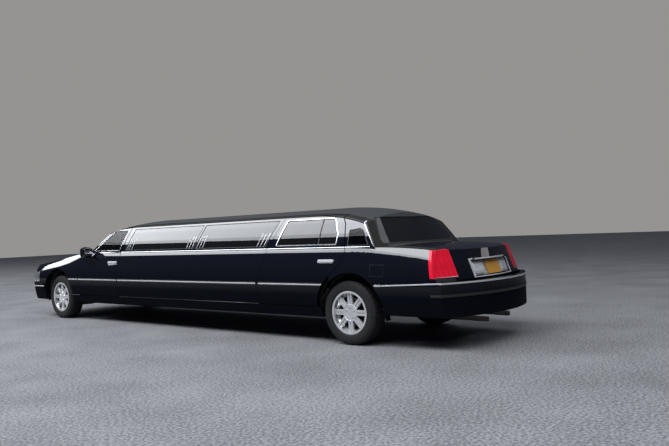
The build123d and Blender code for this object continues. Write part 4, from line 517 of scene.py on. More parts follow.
dark_glass = window_glass("dark_glass", (0.32, 0.34, 0.36), 0.30, rear_pane_share=0.25)
back_glass = window_glass("back_glass", (0.30, 0.32, 0.34), 0.30)
front_glass = window_glass("front_glass", (0.50, 0.53, 0.52), 0.80, sheen=0.0)
screen_glass = window_glass("screen_glass", (0.78, 0.82, 0.80), 0.78)
wear(dark_glass, "door_glass_rear_left", "door_glass_rear_right", "side_glass_left", "side_glass_right")
wear(back_glass, "rear_window")
wear(front_glass, "door_glass_front_left", "door_glass_front_right")
wear(screen_glass, "windshield")


# Bright strips are rolled stainless steel pressed onto clips: one along the belt line, and
# one let into the black rubber bar that guards the waist.
black_rubber, tree, output = new_material("black_rubber")
fine = add_grain(tree, 500.0, 0.25)
fade = add_range(tree, fine["Height"], wanted=(0.008, 0.02))
add_surface(tree, output, {"Base Color": fade, "Roughness": 0.55, "Normal": fine["Normal"]})

ACROSS, ALONG, UP = range(3)
FAR = 9.0
SIDES = (("left", 1), ("right", -1))


def shell_of(node, wanted):
    """The faces of a CAD node that a test picks, as an open bmesh."""
    shape = bmesh.new()
    shape.from_mesh(nodes[node].data)
    bmesh.ops.remove_doubles(shape, verts=shape.verts, dist=0.00005)
    bmesh.ops.recalc_face_normals(shape, faces=shape.faces)
    bmesh.ops.delete(shape, geom=[face for face in shape.faces if not wanted(face)], context="FACES")
    return shape


def skin_of(node, side):
    """The faces of a body panel that look outwards on one side of the car."""
    return shell_of(node, lambda face: face.normal.x * side >= 0.35)


def cut_band(shape, point, normal):
    """Keeps what lies ahead of a plane."""
    geometry = shape.verts[:] + shape.edges[:] + shape.faces[:]
    bmesh.ops.bisect_plane(shape, geom=geometry, plane_co=point, plane_no=normal, clear_inner=True)


def keep_between(shape, axis, low, high):
    """Keeps what lies between two places along one axis."""
    for place, way in ((low, 1), (high, -1)):
        point, normal = Vector(), Vector()
        point[axis], normal[axis] = place, way
        cut_band(shape, point, normal)


def finish_skin(shape, name, proud, material, body, slot_name):
    """Thickens an open skin outwards and hangs it on a body."""
    mesh = bpy.data.meshes.new(name)
    shape.to_mesh(mesh)
    shape.free()
    piece = bpy.data.objects.new(name, mesh)
    bpy.context.scene.collection.objects.link(piece)
    apply_modifier(piece, "SOLIDIFY", thickness=proud, offset=1.0, use_even_offset=True)
    apply_modifier(piece, "BEVEL", width=min(0.0012, proud * 0.3), segments=2, limit_method="ANGLE",
                   angle_limit=math.radians(50))
    piece.data.materials.clear()
    piece.data.materials.append(material)
    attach(piece, body)


def carrier(panel, side_name):
    """The body that a panel of the side rides on, which for a door is its own."""
    return f"{panel}_{side_name}" if panel.startswith("door") else "body"


BELT_FOOT, BELT_TOP, BELT_PROUD = 1.048, 1.060, 0.004
BELT_RUNS = (("door_front", -2.25, FAR), ("side_panel", -FAR, FAR), ("door_rear", -FAR, FAR),
             ("quarter", -FAR, 3.10))
for side_name, side in SIDES:
    for panel, first, last in BELT_RUNS:
        strip = skin_of(f"{panel}_{side_name}", side)
        keep_between(strip, UP, BELT_FOOT, BELT_TOP)
        keep_between(strip, ALONG, first, last)
        finish_skin(strip, f"belt_strip_{panel}_{side_name}", BELT_PROUD, bright_plate,
                    carrier(panel, side_name), "bright_trim")

# Each run of the waist bar: panel, first and last place along the car, and whether the
# packed panel has the raised shape of the bar already.
WAIST_RUNS = (
    ("fender", -2.835, -2.572, False), ("door_front", -FAR, FAR, True), ("side_panel", -1.47, FAR, True),
    ("door_rear", -FAR, FAR, True), ("quarter", 3.20, 3.285, False),
)
BAR_FOOT, BAR_TOP, BRIGHT_FOOT, BRIGHT_TOP = 0.634, 0.670, 0.646, 0.660
BAR_SKIN, BAR_PROUD, BRIGHT_MORE = 0.0008, 0.006, 0.0022
RAISED_FROM, PANEL_FROM = 0.9975, 0.5
for side_name, side in SIDES:
    for panel, first, last, raised in WAIST_RUNS:
        bar_proud = BAR_SKIN if raised else BAR_PROUD
        bright_proud = BRIGHT_MORE if raised else BAR_PROUD + BRIGHT_MORE
        for layer, foot, top, proud, material, slot_name in (
                ("bar", BAR_FOOT, BAR_TOP, bar_proud, black_rubber, "liner"),
                ("bright", BRIGHT_FOOT, BRIGHT_TOP, bright_proud, bright_satin, "bright_trim")):
            strip = skin_of(f"{panel}_{side_name}", side)
            cut_band(strip, (side * (RAISED_FROM if raised else PANEL_FROM), 0, 0), (side, 0, 0))
            keep_between(strip, UP, foot, top)
            keep_between(strip, ALONG, first, last)
            finish_skin(strip, f"waist_{layer}_{panel}_{side_name}", proud, material,
                        carrier(panel, side_name), slot_name)


# Each side window is bonded into a rubber seal, and the windows of the doors have a narrow
# bright frame clipped round them. An upright rubber bar divides each rear door's window.
def outer_skin(node, toward, span=(-FAR, FAR)):
    """The faces of a glass node that look outwards between two places along the car."""
    shape = shell_of(node, lambda face: face.normal.dot(toward) >= 0.55
                     and span[0] < face.calc_center_median().y < span[1])
    bmesh.ops.dissolve_limit(shape, angle_limit=math.radians(1.0), verts=shape.verts, edges=shape.edges)
    return shape


def drop_border(shape, width):
    """Takes a border of one width off an open skin."""
    border = bmesh.ops.inset_region(shape, faces=shape.faces, thickness=width, use_boundary=True,
                                    use_even_offset=True)
    bmesh.ops.delete(shape, geom=border["faces"], context="FACES")


def keep_border(shape, width):
    """Keeps only a border of one width along the edge of an open skin."""
    border = bmesh.ops.inset_region(shape, faces=shape.faces, thickness=width, use_boundary=True,
                                    use_even_offset=True)
    kept = set(border["faces"])
    bmesh.ops.delete(shape, geom=[face for face in shape.faces if face not in kept], context="FACES")


def window_ring(skin, start, width, proud, name, dress):
    """A flat ring on a pane's skin, from one distance inside its edge, dressed by its material and
    body. The slot that comes in its dress is not used."""
    if start > 0:
        drop_border(skin, start)
    keep_border(skin, width)
    finish_skin(skin, name, proud, *dress)


def side_way(side):
    """The way that the side windows look, outwards and a little up."""
    return Vector((side * 0.91, 0, 0.41))


SEAL_WIDE, SEAL_PROUD = 0.009, 0.003
FRONT_FRAME_WIDE, REAR_FRAME_WIDE = 0.006, 0.011
DIVISION_FROM, DIVISION_TO = 2.366, 2.378
for side_name, side in SIDES:
    front_door, rear_door = f"door_front_{side_name}", f"door_rear_{side_name}"
    front_pane, rear_pane = f"door_glass_front_{side_name}", f"door_glass_rear_{side_name}"
    fixed = f"side_glass_{side_name}"
    for pane, door, frame_wide, frame_proud, seal_proud in (
            (front_pane, front_door, FRONT_FRAME_WIDE, 0.0035, 0.0025),
            (rear_pane, rear_door, REAR_FRAME_WIDE, 0.0045, SEAL_PROUD)):
        window_ring(outer_skin(pane, side_way(side)), 0.0, frame_wide, frame_proud, f"frame_{pane}",
                    (bright_plate, door, "bright_trim"))
        window_ring(outer_skin(pane, side_way(side)), frame_wide, SEAL_WIDE, seal_proud, f"seal_{pane}",
                    (black_rubber, door, "liner"))
    for pane, span in (("stretch_glass", (-FAR, REAR_PANE_START)), ("rear_pane", (REAR_PANE_START, FAR))):
        window_ring(outer_skin(fixed, side_way(side), span), 0.0, SEAL_WIDE, SEAL_PROUD,
                    f"seal_{pane}_{side_name}", (black_rubber, "body", "liner"))
    bar = outer_skin(rear_pane, side_way(side))
    keep_between(bar, ALONG, DIVISION_FROM, DIVISION_TO)
    finish_skin(bar, f"division_bar_{side_name}", 0.004, black_rubber, rear_door, "liner")


# A bright finisher of thin stainless sheet is clipped down the rear edge of each rear
# pillar, from the roof to the deck.
PILLAR_HEAD, PILLAR_FOOT = Vector((0, 2.959, 1.333)), Vector((0, 3.168, 1.053))
FINISHER_WIDE, FINISHER_PROUD, FINISHER_END = 0.012, 0.004, 1.06
fall = PILLAR_FOOT - PILLAR_HEAD
ahead_of_line = Vector((0, fall.z, -fall.y)).normalized()
for side_name, side in SIDES:
    for node in (f"quarter_{side_name}", "roof"):
        finisher = shell_of(node, lambda face: face.normal.x * side > 0.25)
        cut_band(finisher, PILLAR_HEAD, ahead_of_line)
        cut_band(finisher, PILLAR_HEAD + ahead_of_line * FINISHER_WIDE, -ahead_of_line)
        cut_band(finisher, (0, 0, FINISHER_END), (0, 0, 1))
        finish_skin(finisher, f"pillar_finisher_{node}_{side_name}", FINISHER_PROUD, bright_satin,
                    "body", "bright_trim")


# Three thin bright ribs are stuck on the lower glass at each end of the two long panes.
# They lean with the end of their pane.
def pane_ends(node, toward, span):
    """The two end lines of a pane, each as its foot, its head and its inward way."""
    shape = outer_skin(node, toward, span)
    spots = [corner.co.copy() for corner in shape.verts]
    shape.free()
    low, high = min(spot.z for spot in spots), max(spot.z for spot in spots)
    foot = [spot.y for spot in spots if spot.z < low + 0.02]
    head = [spot.y for spot in spots if spot.z > high - 0.02]
    return ((min(foot), low), (min(head), high), 1), ((max(foot), low), (max(head), high), -1)


RIB_WIDE, RIB_PROUD, RIB_TOP = 0.006, 0.003, 1.245
RIB_PLACES = (0.030, 0.085, 0.140)
LONG_PANES = (("front_pane", (-FAR, 0.0)), ("middle_pane", (0.0, REAR_PANE_START)))
for side_name, side in SIDES:
    fixed = f"side_glass_{side_name}"
    for pane, span in LONG_PANES:
        for end, (foot, head, inward) in zip(("ahead", "behind"), pane_ends(fixed, side_way(side), span)):
            away = Vector((0, (head[1] - foot[1]) * inward, (foot[0] - head[0]) * inward)).normalized()
            for count, inside in enumerate(RIB_PLACES):
                start = Vector((0, foot[0], foot[1])) + away * inside
                rib = outer_skin(fixed, side_way(side), span)
                cut_band(rib, start, away)
                cut_band(rib, start + away * RIB_WIDE, -away)
                cut_band(rib, (0, 0, RIB_TOP), (0, 0, -1))
                finish_skin(rib, f"rib_{pane}_{end}_{count}_{side_name}", RIB_PROUD, bright_satin,
                            "body", "bright_trim")


# The rear window and the windscreen are bonded in from outside, each under a broad rubber
# seal that laps over its edge.
WIDE_SEAL = 0.016
for pane, toward in (("rear_window", Vector((0, 0.6, 0.8))), ("windshield", Vector((0, -0.55, 0.84)))):
    window_ring(outer_skin(pane, toward), 0.0, WIDE_SEAL, SEAL_PROUD, f"seal_{pane}",
                (black_rubber, "body", "liner"))


# The door handles are plated pull bars, each in one piece with its rounded ends, screwed
# on from inside the door.
HANDLE_HALF, HANDLE_HEIGHT, HANDLE_HALF_TALL, HANDLE_OUT = 0.114, 0.912, 0.025, 0.9595
HANDLES = (("door_front", -1.630), ("door_rear", 2.528))


def on_handle(face, middle):
    """True for a face of the pull bar that stands out from the door's skin."""
    spot = face.calc_center_median()
    near = abs(spot.y - middle) < HANDLE_HALF and abs(spot.z - HANDLE_HEIGHT) < HANDLE_HALF_TALL
    return near and abs(spot.x) > HANDLE_OUT


for side_name, side in SIDES:
    for door, middle in HANDLES:
        cover = shell_of(f"{door}_{side_name}", lambda face: on_handle(face, middle))
        finish_skin(cover, f"handle_{door}_{side_name}", 0.0015, bright_satin, f"{door}_{side_name}",
                    "bright_trim")


# The mirrors hold a flat silvered glass with round corners in the rear face of a painted
# shell, which is bolted to the corner of the front door.
MIRROR_OUT, MIRROR_PLACE, MIRROR_HEIGHT = 1.018, -2.1695, 1.075
MIRROR_SIZE, MIRROR_CORNER = (0.142, 0.003, 0.112), 0.024
for side_name, side in SIDES:
    bpy.ops.object.select_all(action="DESELECT")
    bpy.ops.mesh.primitive_cube_add(size=1.0, location=(side * MIRROR_OUT, MIRROR_PLACE, MIRROR_HEIGHT),
                                    scale=MIRROR_SIZE)
    bpy.ops.object.transform_apply(location=False, rotation=False, scale=True)
    silvered = bmesh.new()
    silvered.from_mesh(bpy.context.object.data)
    through = [edge for edge in silvered.edges if abs(edge.verts[0].co.y - edge.verts[1].co.y) > 0.002]
    bmesh.ops.bevel(silvered, geom=through, offset=MIRROR_CORNER, segments=6, affect="EDGES", profile=0.5)
    silvered.to_mesh(bpy.context.object.data)
    silvered.free()
    apply_modifier(bpy.context.object, "BEVEL", width=0.0008, segments=2, limit_method="ANGLE")
    bpy.context.object.select_set(True)
    active_piece(f"mirror_glass_{side_name}", bright_plate, f"door_front_{side_name}")


# A narrow drip rail parts the dull roof covering from the painted roof edge, and a pressed
# rib runs along the foot of the side panels. The rib's grey is a painted highlight line, with a
# little road dirt over it.
RAIL_FROM, RAIL_TO, RAIL_LOWEST = 0.656, 0.667, 1.37
SILL_RIB_FOOT, SILL_RIB_TOP = 0.405, 0.411
# The grey of the sill rib is a painted highlight, and its dirt patches are road dirt.
sill_highlight_and_dirt = dirty_finish("sill_highlight_and_dirt", (0.055, 0.058, 0.064), 0.4, clean_height=0.5, amount=0.4, coat=0.5)
for side_name, side in SIDES:
    rail = shell_of("roof", lambda face: face.normal.z > 0.15 and face.calc_center_median().x * side > 0)
    cut_band(rail, (side * RAIL_FROM, 0, 0), (side, 0, 0))
    cut_band(rail, (side * RAIL_TO, 0, 0), (-side, 0, 0))
    cut_band(rail, (0, 0, RAIL_LOWEST), (0, 0, 1))
    finish_skin(rail, f"drip_rail_{side_name}", 0.005, black_rubber, "body", "liner")
    for panel in ("fender", "side_panel", "quarter"):
        rib = skin_of(f"{panel}_{side_name}", side)
        keep_between(rib, UP, SILL_RIB_FOOT, SILL_RIB_TOP)
        finish_skin(rib, f"sill_rib_{panel}_{side_name}", 0.003, sill_highlight_and_dirt, "body", "paint_black")


# The fuel door is a small pressed flap in the left quarter panel, hinged on its inner
# side. It shows by the dark gap round it.
FLAP_FIRST, FLAP_LAST, FLAP_FOOT, FLAP_TOP = 3.134, 3.306, 0.749, 0.869
FLAP_GAP, FLAP_GAP_PROUD = 0.002, 0.0006
flap = skin_of("quarter_left", 1)
keep_between(flap, ALONG, FLAP_FIRST, FLAP_LAST)
keep_between(flap, UP, FLAP_FOOT, FLAP_TOP)
bmesh.ops.dissolve_limit(flap, angle_limit=math.radians(3.0), verts=flap.verts, edges=flap.edges)
keep_border(flap, FLAP_GAP)
finish_skin(flap, "fuel_door_gap", FLAP_GAP_PROUD, black_rubber, "body", "liner")


# Two wipers rest along the foot of the windscreen: painted arms that carry thin round rubber
# blades.
WIPER_LINE, PIVOTS = -2.335, (0.50, -0.08)
BLADE_RADIUS, BLADE_POINTS, BLADE_STEP, BLADE_LIFT = 0.005, 10, 0.06, 0.010
ARM_RADIUS, ARM_LIFT, COWL_HEIGHT = 0.006, 0.020, 1.09


def bent_bar(name, points, radius, material, body):
    """A round bar through a few points."""
    line = bpy.data.curves.new(name, "CURVE")
    line.dimensions = "3D"
    line.bevel_depth = radius
    line.bevel_resolution = 3
    line.use_fill_caps = True
    path = line.splines.new("POLY")
    path.points.add(len(points) - 1)
    for knot, point in zip(path.points, points):
        knot.co = (*point, 1.0)
    piece = bpy.data.objects.new(name, line)
    bpy.context.scene.collection.objects.link(piece)
    bpy.ops.object.select_all(action="DESELECT")
    bpy.context.view_layer.objects.active = piece
    piece.select_set(True)
    bpy.ops.object.convert(target="MESH")
    bpy.ops.object.shade_smooth_by_angle(angle=math.radians(40))
    return active_piece(name, material, body)


def on_screen(x, y, lift):
    """A point a little above the windscreen, or above the cowl where no glass is."""
    hit, spot, normal, _ = nodes["windshield"].ray_cast(Vector((x, y, 2.0)), Vector((0, 0, -1)))
    return spot + normal * lift if hit else Vector((x, y, COWL_HEIGHT + lift))


bpy.context.view_layer.update()
for count, pivot in enumerate(PIVOTS):
    blade = [on_screen(pivot + 0.10 - step * BLADE_STEP, WIPER_LINE, BLADE_LIFT)
             for step in range(BLADE_POINTS)]
    bent_bar(f"wiper_blade_{count}", blade, BLADE_RADIUS, black_rubber, "body")
    arm = [Vector((pivot + 0.13, -2.425, 1.078)), Vector((pivot + 0.10, -2.40, 1.105)),
           on_screen(pivot - 0.17, WIPER_LINE, ARM_LIFT)]
    bent_bar(f"wiper_arm_{count}", arm, ARM_RADIUS, dull_moulding, "body")


# The grille is a die-cast frame with upright bars, plated all over. The headlamps are
# clear lenses over silvered bowls, and the tail lamps are moulded in red plastic.
wear(bright_plate, "grille")


def lamp_lens(name, colour, flutes, metallic, depth, coat):
    """A glossy lens with fine flutes moulded into it, whose grooves are painted darker as shade."""
    material, tree, output = new_material(name)
    place = add_node(tree, "TexCoord").outputs["Object"]
    lines = add_node(tree, "TexWave", {"Vector": place, "Scale": flutes}, bands_direction="X")
    rows = add_node(tree, "TexWave", {"Vector": place, "Scale": flutes * 0.45},
                    bands_direction="Z")
    pattern = add_math(tree, "MULTIPLY", lines.outputs["Fac"], rows.outputs["Fac"])
    bump = add_node(tree, "Bump", {"Strength": depth, "Distance": 0.004, "Height": pattern})
    # The grooves of the flutes are painted darker, down to about a third of the lens colour, as painted
    # shade.
    flute_groove_shade = add_range(tree, pattern, wanted=(0.72, 1.0))
    lens_colour_with_shade = add_tint(tree, flute_groove_shade, (*(part * 0.35 for part in colour), 1), (*colour, 1))
    add_surface(tree, output,
                {"Base Color": lens_colour_with_shade, "Metallic": metallic, "Roughness": 0.22,
                 "Normal": bump.outputs["Normal"], "Coat Weight": coat, "Coat Roughness": 0.02,
                 "Specular IOR Level": coat * 0.6})
    return material


clear_lens = lamp_lens("clear_lens", (0.78, 0.80, 0.82), 14.0, 0.25, 0.5, 0.8)
red_lens = lamp_lens("red_lens", (0.86, 0.012, 0.040), 5.0, 0.0, 0.06, 0.35)

# Each headlamp holds two silvered bowls in a dark bezel behind one clear lens. The bowls are
# painted on, with a painted highlight that is bright in their middle and darker towards their rim.
BOWL_OUT, BOWL_HEIGHT, BOWL_RADIUS, BOWL_RIM = (0.50, 0.73), 0.683, 0.062, 0.066
lamp_bowls, tree, output = new_material("lamp_bowls")
place = add_node(tree, "TexCoord").outputs["Object"]
spot = add_node(tree, "SeparateXYZ", {"Vector": place})
apart = add_math(tree, "ABSOLUTE", spot.outputs["X"])
flat = add_node(tree, "CombineXYZ", {"X": apart, "Z": spot.outputs["Z"]})
near, far = [add_node(tree, "VectorMath", {0: flat.outputs[0], 1: (reach, 0.0, BOWL_HEIGHT)},
                      operation="DISTANCE").outputs["Value"] for reach in BOWL_OUT]
nearest = add_math(tree, "MINIMUM", near, far)
rim = add_range(tree, nearest, (BOWL_RADIUS, BOWL_RIM))
# Painted highlight: each bowl is near white in its middle and mid grey at its rim, as its reflection.
bowl_painted_highlight = add_ramp(tree, nearest, (0.0, (0.95, 0.96, 0.98)), (BOWL_RADIUS, (0.42, 0.44, 0.47)))
bezel = add_tint(tree, rim, bowl_painted_highlight, (0.16, 0.165, 0.175, 1))
add_surface(tree, output,
            {"Base Color": bezel, "Metallic": 0.3, "Roughness": 0.25, "Coat Weight": 1.0,
             "Coat Roughness": 0.02})
wear(lamp_bowls, "headlamps")
wear(red_lens, "tail_lamps")


# Each rear lamp has a bright strip along its foot, and each headlamp a bright one under
# its lens. The strips are clipped over the lens edge.
REAR_CENTRE, FRONT_CENTRE = 3.0, -3.3


def looks_out(face, centre_y, least=0.35):
    """True for a face that looks away from a point inside the car's end."""
    spot = face.calc_center_median()
    away = Vector((spot.x, spot.y - centre_y, 0)).normalized()
    return face.normal.dot(away) > least


for node, name, foot, top, centre_y in (("tail_lamps", "rear_lamp_strip", 0.724, 0.736, REAR_CENTRE),
                                        ("headlamps", "front_lamp_strip", 0.602, 0.610, FRONT_CENTRE)):
    strip = shell_of(node, lambda face: looks_out(face, centre_y))
    keep_between(strip, UP, foot, top)
    finish_skin(strip, name, 0.003, bright_plate, "body", "bright_trim")


# The red lens wraps round the rear corner on to the quarter panel, where it is a thin
# outer shell clipped over the paint.
WRAP_FOOT, WRAP_TOP, WRAP_INNER, WRAP_PROUD = 0.728, 1.004, 0.60, 0.005
for side_name, side in SIDES:
    wrap = shell_of(f"quarter_{side_name}",
                    lambda face: looks_out(face, REAR_CENTRE, 0.1) and face.normal.z < 0.97)
    cut_band(wrap, (0, 3.855, 0.72), (0, 1, 0.2))
    keep_between(wrap, UP, WRAP_FOOT, WRAP_TOP)
    cut_band(wrap, (side * WRAP_INNER, 0, 0), (side, 0, 0))
    finish_skin(wrap, f"rear_lamp_wrap_{side_name}", WRAP_PROUD, red_lens, "body", "lamp_red")


# The number plate sits between two clear reversing lamps in a plated surround that is let
# into the boot lid. The plate is pressed aluminium with a raised rim, and is blank.
SURROUND_HALF, SURROUND_FOOT, SURROUND_TOP, SURROUND_PROUD = 0.424, 0.702, 0.896, 0.008
OPENING_HALF, OPENING_FOOT, OPENING_TOP = 0.401, 0.714, 0.881
BACKING_HALF, BACKING_FOOT, BACKING_TOP, BACKING_PROUD = 0.388, 0.727, 0.869, 0.0015
LAMP_FROM, LAMP_TO, LAMP_FOOT, LAMP_TOP, LAMP_PROUD = 0.205, 0.375, 0.738, 0.858, 0.012
PLATE_WIDE, PLATE_TALL, PLATE_THICK, PLATE_HEIGHT, PLATE_CLEAR = 0.305, 0.152, 0.003, 0.797, 0.006
PROBE_FOOT, PROBE_HEAD, BEHIND_CAR = 0.735, 0.860, 6.0


def lid_skin(left, right, foot, top):
    """The rearward faces of the boot lid inside a box."""
    shape = shell_of("boot_lid", lambda face: face.normal.y > 0.5 and face.calc_center_median().y > 3.95)
    keep_between(shape, ACROSS, left, right)
    keep_between(shape, UP, foot, top)
    return shape


def in_opening(face):
    """True for a face inside the opening of the plate surround."""
    spot = face.calc_center_median()
    return abs(spot.x) < OPENING_HALF and OPENING_FOOT < spot.z < OPENING_TOP


surround = lid_skin(-SURROUND_HALF, SURROUND_HALF, SURROUND_FOOT, SURROUND_TOP)
for point, normal in (((-OPENING_HALF, 0, 0), (1, 0, 0)), ((OPENING_HALF, 0, 0), (1, 0, 0)),
                      ((0, 0, OPENING_FOOT), (0, 0, 1)), ((0, 0, OPENING_TOP), (0, 0, 1))):
    geometry = surround.verts[:] + surround.edges[:] + surround.faces[:]
    bmesh.ops.bisect_plane(surround, geom=geometry, plane_co=point, plane_no=normal)
bmesh.ops.delete(surround, geom=[face for face in surround.faces if in_opening(face)], context="FACES")
finish_skin(surround, "plate_surround", SURROUND_PROUD, bright_satin, "boot_lid", "bright_trim")
backing = lid_skin(-BACKING_HALF, BACKING_HALF, BACKING_FOOT, BACKING_TOP)
finish_skin(backing, "plate_backing", BACKING_PROUD, bright_satin, "boot_lid", "bright_trim")
for side_name, side in SIDES:
    left, right = sorted((side * LAMP_FROM, side * LAMP_TO))
    finish_skin(lid_skin(left, right, LAMP_FOOT, LAMP_TOP), f"reversing_lamp_{side_name}", LAMP_PROUD,
                clear_lens, "boot_lid", "bright_trim")

plate_paint = dirty_finish("plate_paint", (0.62, 0.30, 0.035), 0.35, clean_height=1.2, amount=0.35,
                           grain=(120.0, 0.05))
bpy.context.view_layer.update()
foot_y, head_y = [nodes["boot_lid"].ray_cast(Vector((0, BEHIND_CAR, height)), Vector((0, -1, 0)))[1].y
                  for height in (PROBE_FOOT, PROBE_HEAD)]
bpy.ops.object.select_all(action="DESELECT")
bpy.ops.mesh.primitive_cube_add(size=1.0, location=(0, (foot_y + head_y) / 2 + PLATE_CLEAR, PLATE_HEIGHT),
                                rotation=(math.atan2(foot_y - head_y, PROBE_HEAD - PROBE_FOOT), 0, 0),
                                scale=(PLATE_WIDE, PLATE_THICK, PLATE_TALL))
bpy.ops.object.transform_apply(location=False, rotation=False, scale=True)
bpy.ops.object.mode_set(mode="EDIT")
bpy.ops.mesh.select_all(action="DESELECT")
bpy.ops.object.mode_set(mode="OBJECT")
for face in bpy.context.object.data.polygons:
    face.select = face.normal.y > 0.9
bpy.ops.object.mode_set(mode="EDIT")
bpy.ops.mesh.inset(thickness=0.006, depth=0.0)
bpy.ops.mesh.inset(thickness=0.0015, depth=-0.001)
bpy.ops.object.mode_set(mode="OBJECT")
apply_modifier(bpy.context.object, "BEVEL", width=0.0006, segments=2, limit_method="ANGLE")
bpy.context.object.select_set(True)
active_piece("blank_plate", plate_paint, "boot_lid")


# The rear bumper carries on the bright line of the waist round each corner. A bright ledge
# and a black rubber rubbing strip are clipped across its rear face.
LINE_START, LINE_END, LINE_FOOT, LINE_TOP, LINE_TAPER = 3.292, 3.96, 0.648, 0.661, 0.04
LEDGE_START, LEDGE_FOOT, LEDGE_TOP = 3.95, 0.672, 0.688
RUB_START, RUB_FOOT, RUB_TOP = 3.86, 0.545, 0.572
STRIP_PROUD, RUB_PROUD = 0.005, 0.007
for side_name, side in SIDES:
    line = shell_of("rear_bumper",
                    lambda face: looks_out(face, REAR_CENTRE) and face.calc_center_median().x * side > 0)
    cut_band(line, (0, LINE_START, LINE_FOOT), (0, -LINE_TAPER, 1))
    cut_band(line, (0, LINE_START, LINE_TOP), (0, LINE_TAPER, -1))
    cut_band(line, (0, LINE_END, 0), (0, -1, 0))
    finish_skin(line, f"bumper_line_{side_name}", STRIP_PROUD, bright_satin, "body", "bright_trim")
for name, start, foot, top, proud, material, slot_name in (
        ("bumper_ledge", LEDGE_START, LEDGE_FOOT, LEDGE_TOP, STRIP_PROUD, bright_satin, "bright_trim"),
        ("bumper_rubbing_strip", RUB_START, RUB_FOOT, RUB_TOP, RUB_PROUD, black_rubber, "liner")):
    strip = shell_of("rear_bumper", lambda face: looks_out(face, REAR_CENTRE))
    keep_between(strip, UP, foot, top)
    cut_band(strip, (0, start, 0), (0, 1, 0))
    finish_skin(strip, name, proud, material, "body", slot_name)


# The front bumper has a bright strip round its middle, a dark lower intake with a row of
# rubber slats, and a round fog lamp in a plated ring on each side.
FRONT_LINE_FOOT, FRONT_LINE_TOP = 0.520, 0.536
INTAKE_HALF, INTAKE_FOOT, INTAKE_TOP, INTAKE_PROUD = 0.42, 0.352, 0.440, 0.002
SLATS, SLAT_HALF, SLAT_FOOT, SLAT_STEP, SLAT_TALL, SLAT_PROUD = 4, 0.415, 0.358, 0.022, 0.008, 0.007
FOG_OUT, FOG_HEIGHT, FOG_RADIUS, FOG_FLAT, AHEAD_OF_CAR = 0.62, 0.405, 0.045, 0.28, -6.0
FOG_RING_RADIUS, FOG_RING_THICK = 0.048, 0.006
front_line = shell_of("front_bumper", lambda face: looks_out(face, FRONT_CENTRE))
keep_between(front_line, UP, FRONT_LINE_FOOT, FRONT_LINE_TOP)
finish_skin(front_line, "front_bumper_line", STRIP_PROUD, bright_satin, "body", "bright_trim")


def nose_skin(half, foot, top):
    """The forward faces of the front bumper inside a box."""
    shape = shell_of("front_bumper",
                     lambda face: looks_out(face, FRONT_CENTRE) and face.calc_center_median().y < -4.0)
    keep_between(shape, ACROSS, -half, half)
    keep_between(shape, UP, foot, top)
    return shape


finish_skin(nose_skin(INTAKE_HALF, INTAKE_FOOT, INTAKE_TOP), "lower_intake", INTAKE_PROUD, dull_moulding,
            "body", "liner")
for count in range(SLATS):
    foot = SLAT_FOOT + count * SLAT_STEP
    finish_skin(nose_skin(SLAT_HALF, foot, foot + SLAT_TALL), f"intake_slat_{count}", SLAT_PROUD,
                black_rubber, "body", "liner")
for side_name, side in SIDES:
    _, spot, normal, _ = nodes["front_bumper"].ray_cast(
        Vector((side * FOG_OUT, AHEAD_OF_CAR, FOG_HEIGHT)), Vector((0, 1, 0)))
    turn = normal.to_track_quat("Z", "Y").to_euler()
    bpy.ops.object.select_all(action="DESELECT")
    bpy.ops.mesh.primitive_uv_sphere_add(segments=32, ring_count=16, radius=FOG_RADIUS, location=spot,
                                         rotation=turn, scale=(1, 1, FOG_FLAT))
    bpy.ops.object.shade_smooth()
    active_piece(f"fog_lamp_{side_name}", clear_lens, "body")
    bpy.ops.mesh.primitive_torus_add(major_radius=FOG_RING_RADIUS, minor_radius=FOG_RING_THICK,
                                     major_segments=48, minor_segments=10, location=spot, rotation=turn)
    bpy.ops.object.shade_smooth()
    active_piece(f"fog_lamp_ring_{side_name}", bright_plate, "body")


# The cabin has a grained dark plastic dashboard and trims, a leather-rimmed steering wheel,
# and a varnished wood bar under the left side windows.
cabin_plastic = dirty_finish("cabin_plastic", (0.028, 0.027, 0.027), 0.55, clean_height=0.2,
                             grain=(700.0, 0.35))
rim_leather = dirty_finish("rim_leather", (0.022, 0.021, 0.020), 0.45, clean_height=0.2,
                           grain=(900.0, 0.3))
wear(cabin_plastic, "dashboard", "partition", "parcel_shelf")
wear(rim_leather, "steering_wheel")

varnished_wood, tree, output = new_material("varnished_wood")
place = add_node(tree, "TexCoord").outputs["Object"]
stretched = add_node(tree, "Mapping", {"Vector": place, "Scale": (6.0, 0.8, 9.0)})
rings = add_noise(tree, stretched.outputs["Vector"], 5.0, 8.0, Distortion=1.4)
wood = add_ramp(tree, rings, (0.35, (0.045, 0.014, 0.006)), (0.68, (0.19, 0.072, 0.028)))
add_surface(tree, output,
            {"Base Color": wood, "Roughness": 0.35, "Coat Weight": 1.0, "Coat Roughness": 0.04})
wear(varnished_wood, "bar_cabinet")


# The seats are foam cushions in dark leather, sewn into channels, on a hard plinth. The
# driver and one passenger have seats of their own, and the lounge has a bench along the
# right side and a broad seat across the back.
seat_leather, tree, output = new_material("seat_leather")
fine = add_grain(tree, 620.0, 0.45)
worn = add_range(tree, fine["Height"], wanted=(0.30, 0.52))
shade = add_ramp(tree, fine["Height"], (0.0, (0.022, 0.020, 0.019)), (1.0, (0.048, 0.045, 0.043)))
add_surface(tree, output,
            {"Base Color": shade, "Roughness": worn,
             "Normal": fine["Normal"], "Sheen Weight": 0.15})

EDGE_ROUND, VOXEL = 0.028, 0.013
PRESSURE, TICKS, SWELL_CAP = 4.0, 12, 0.012
SEAM_DEPTH, SEAM_WIDE = 0.009, 0.014


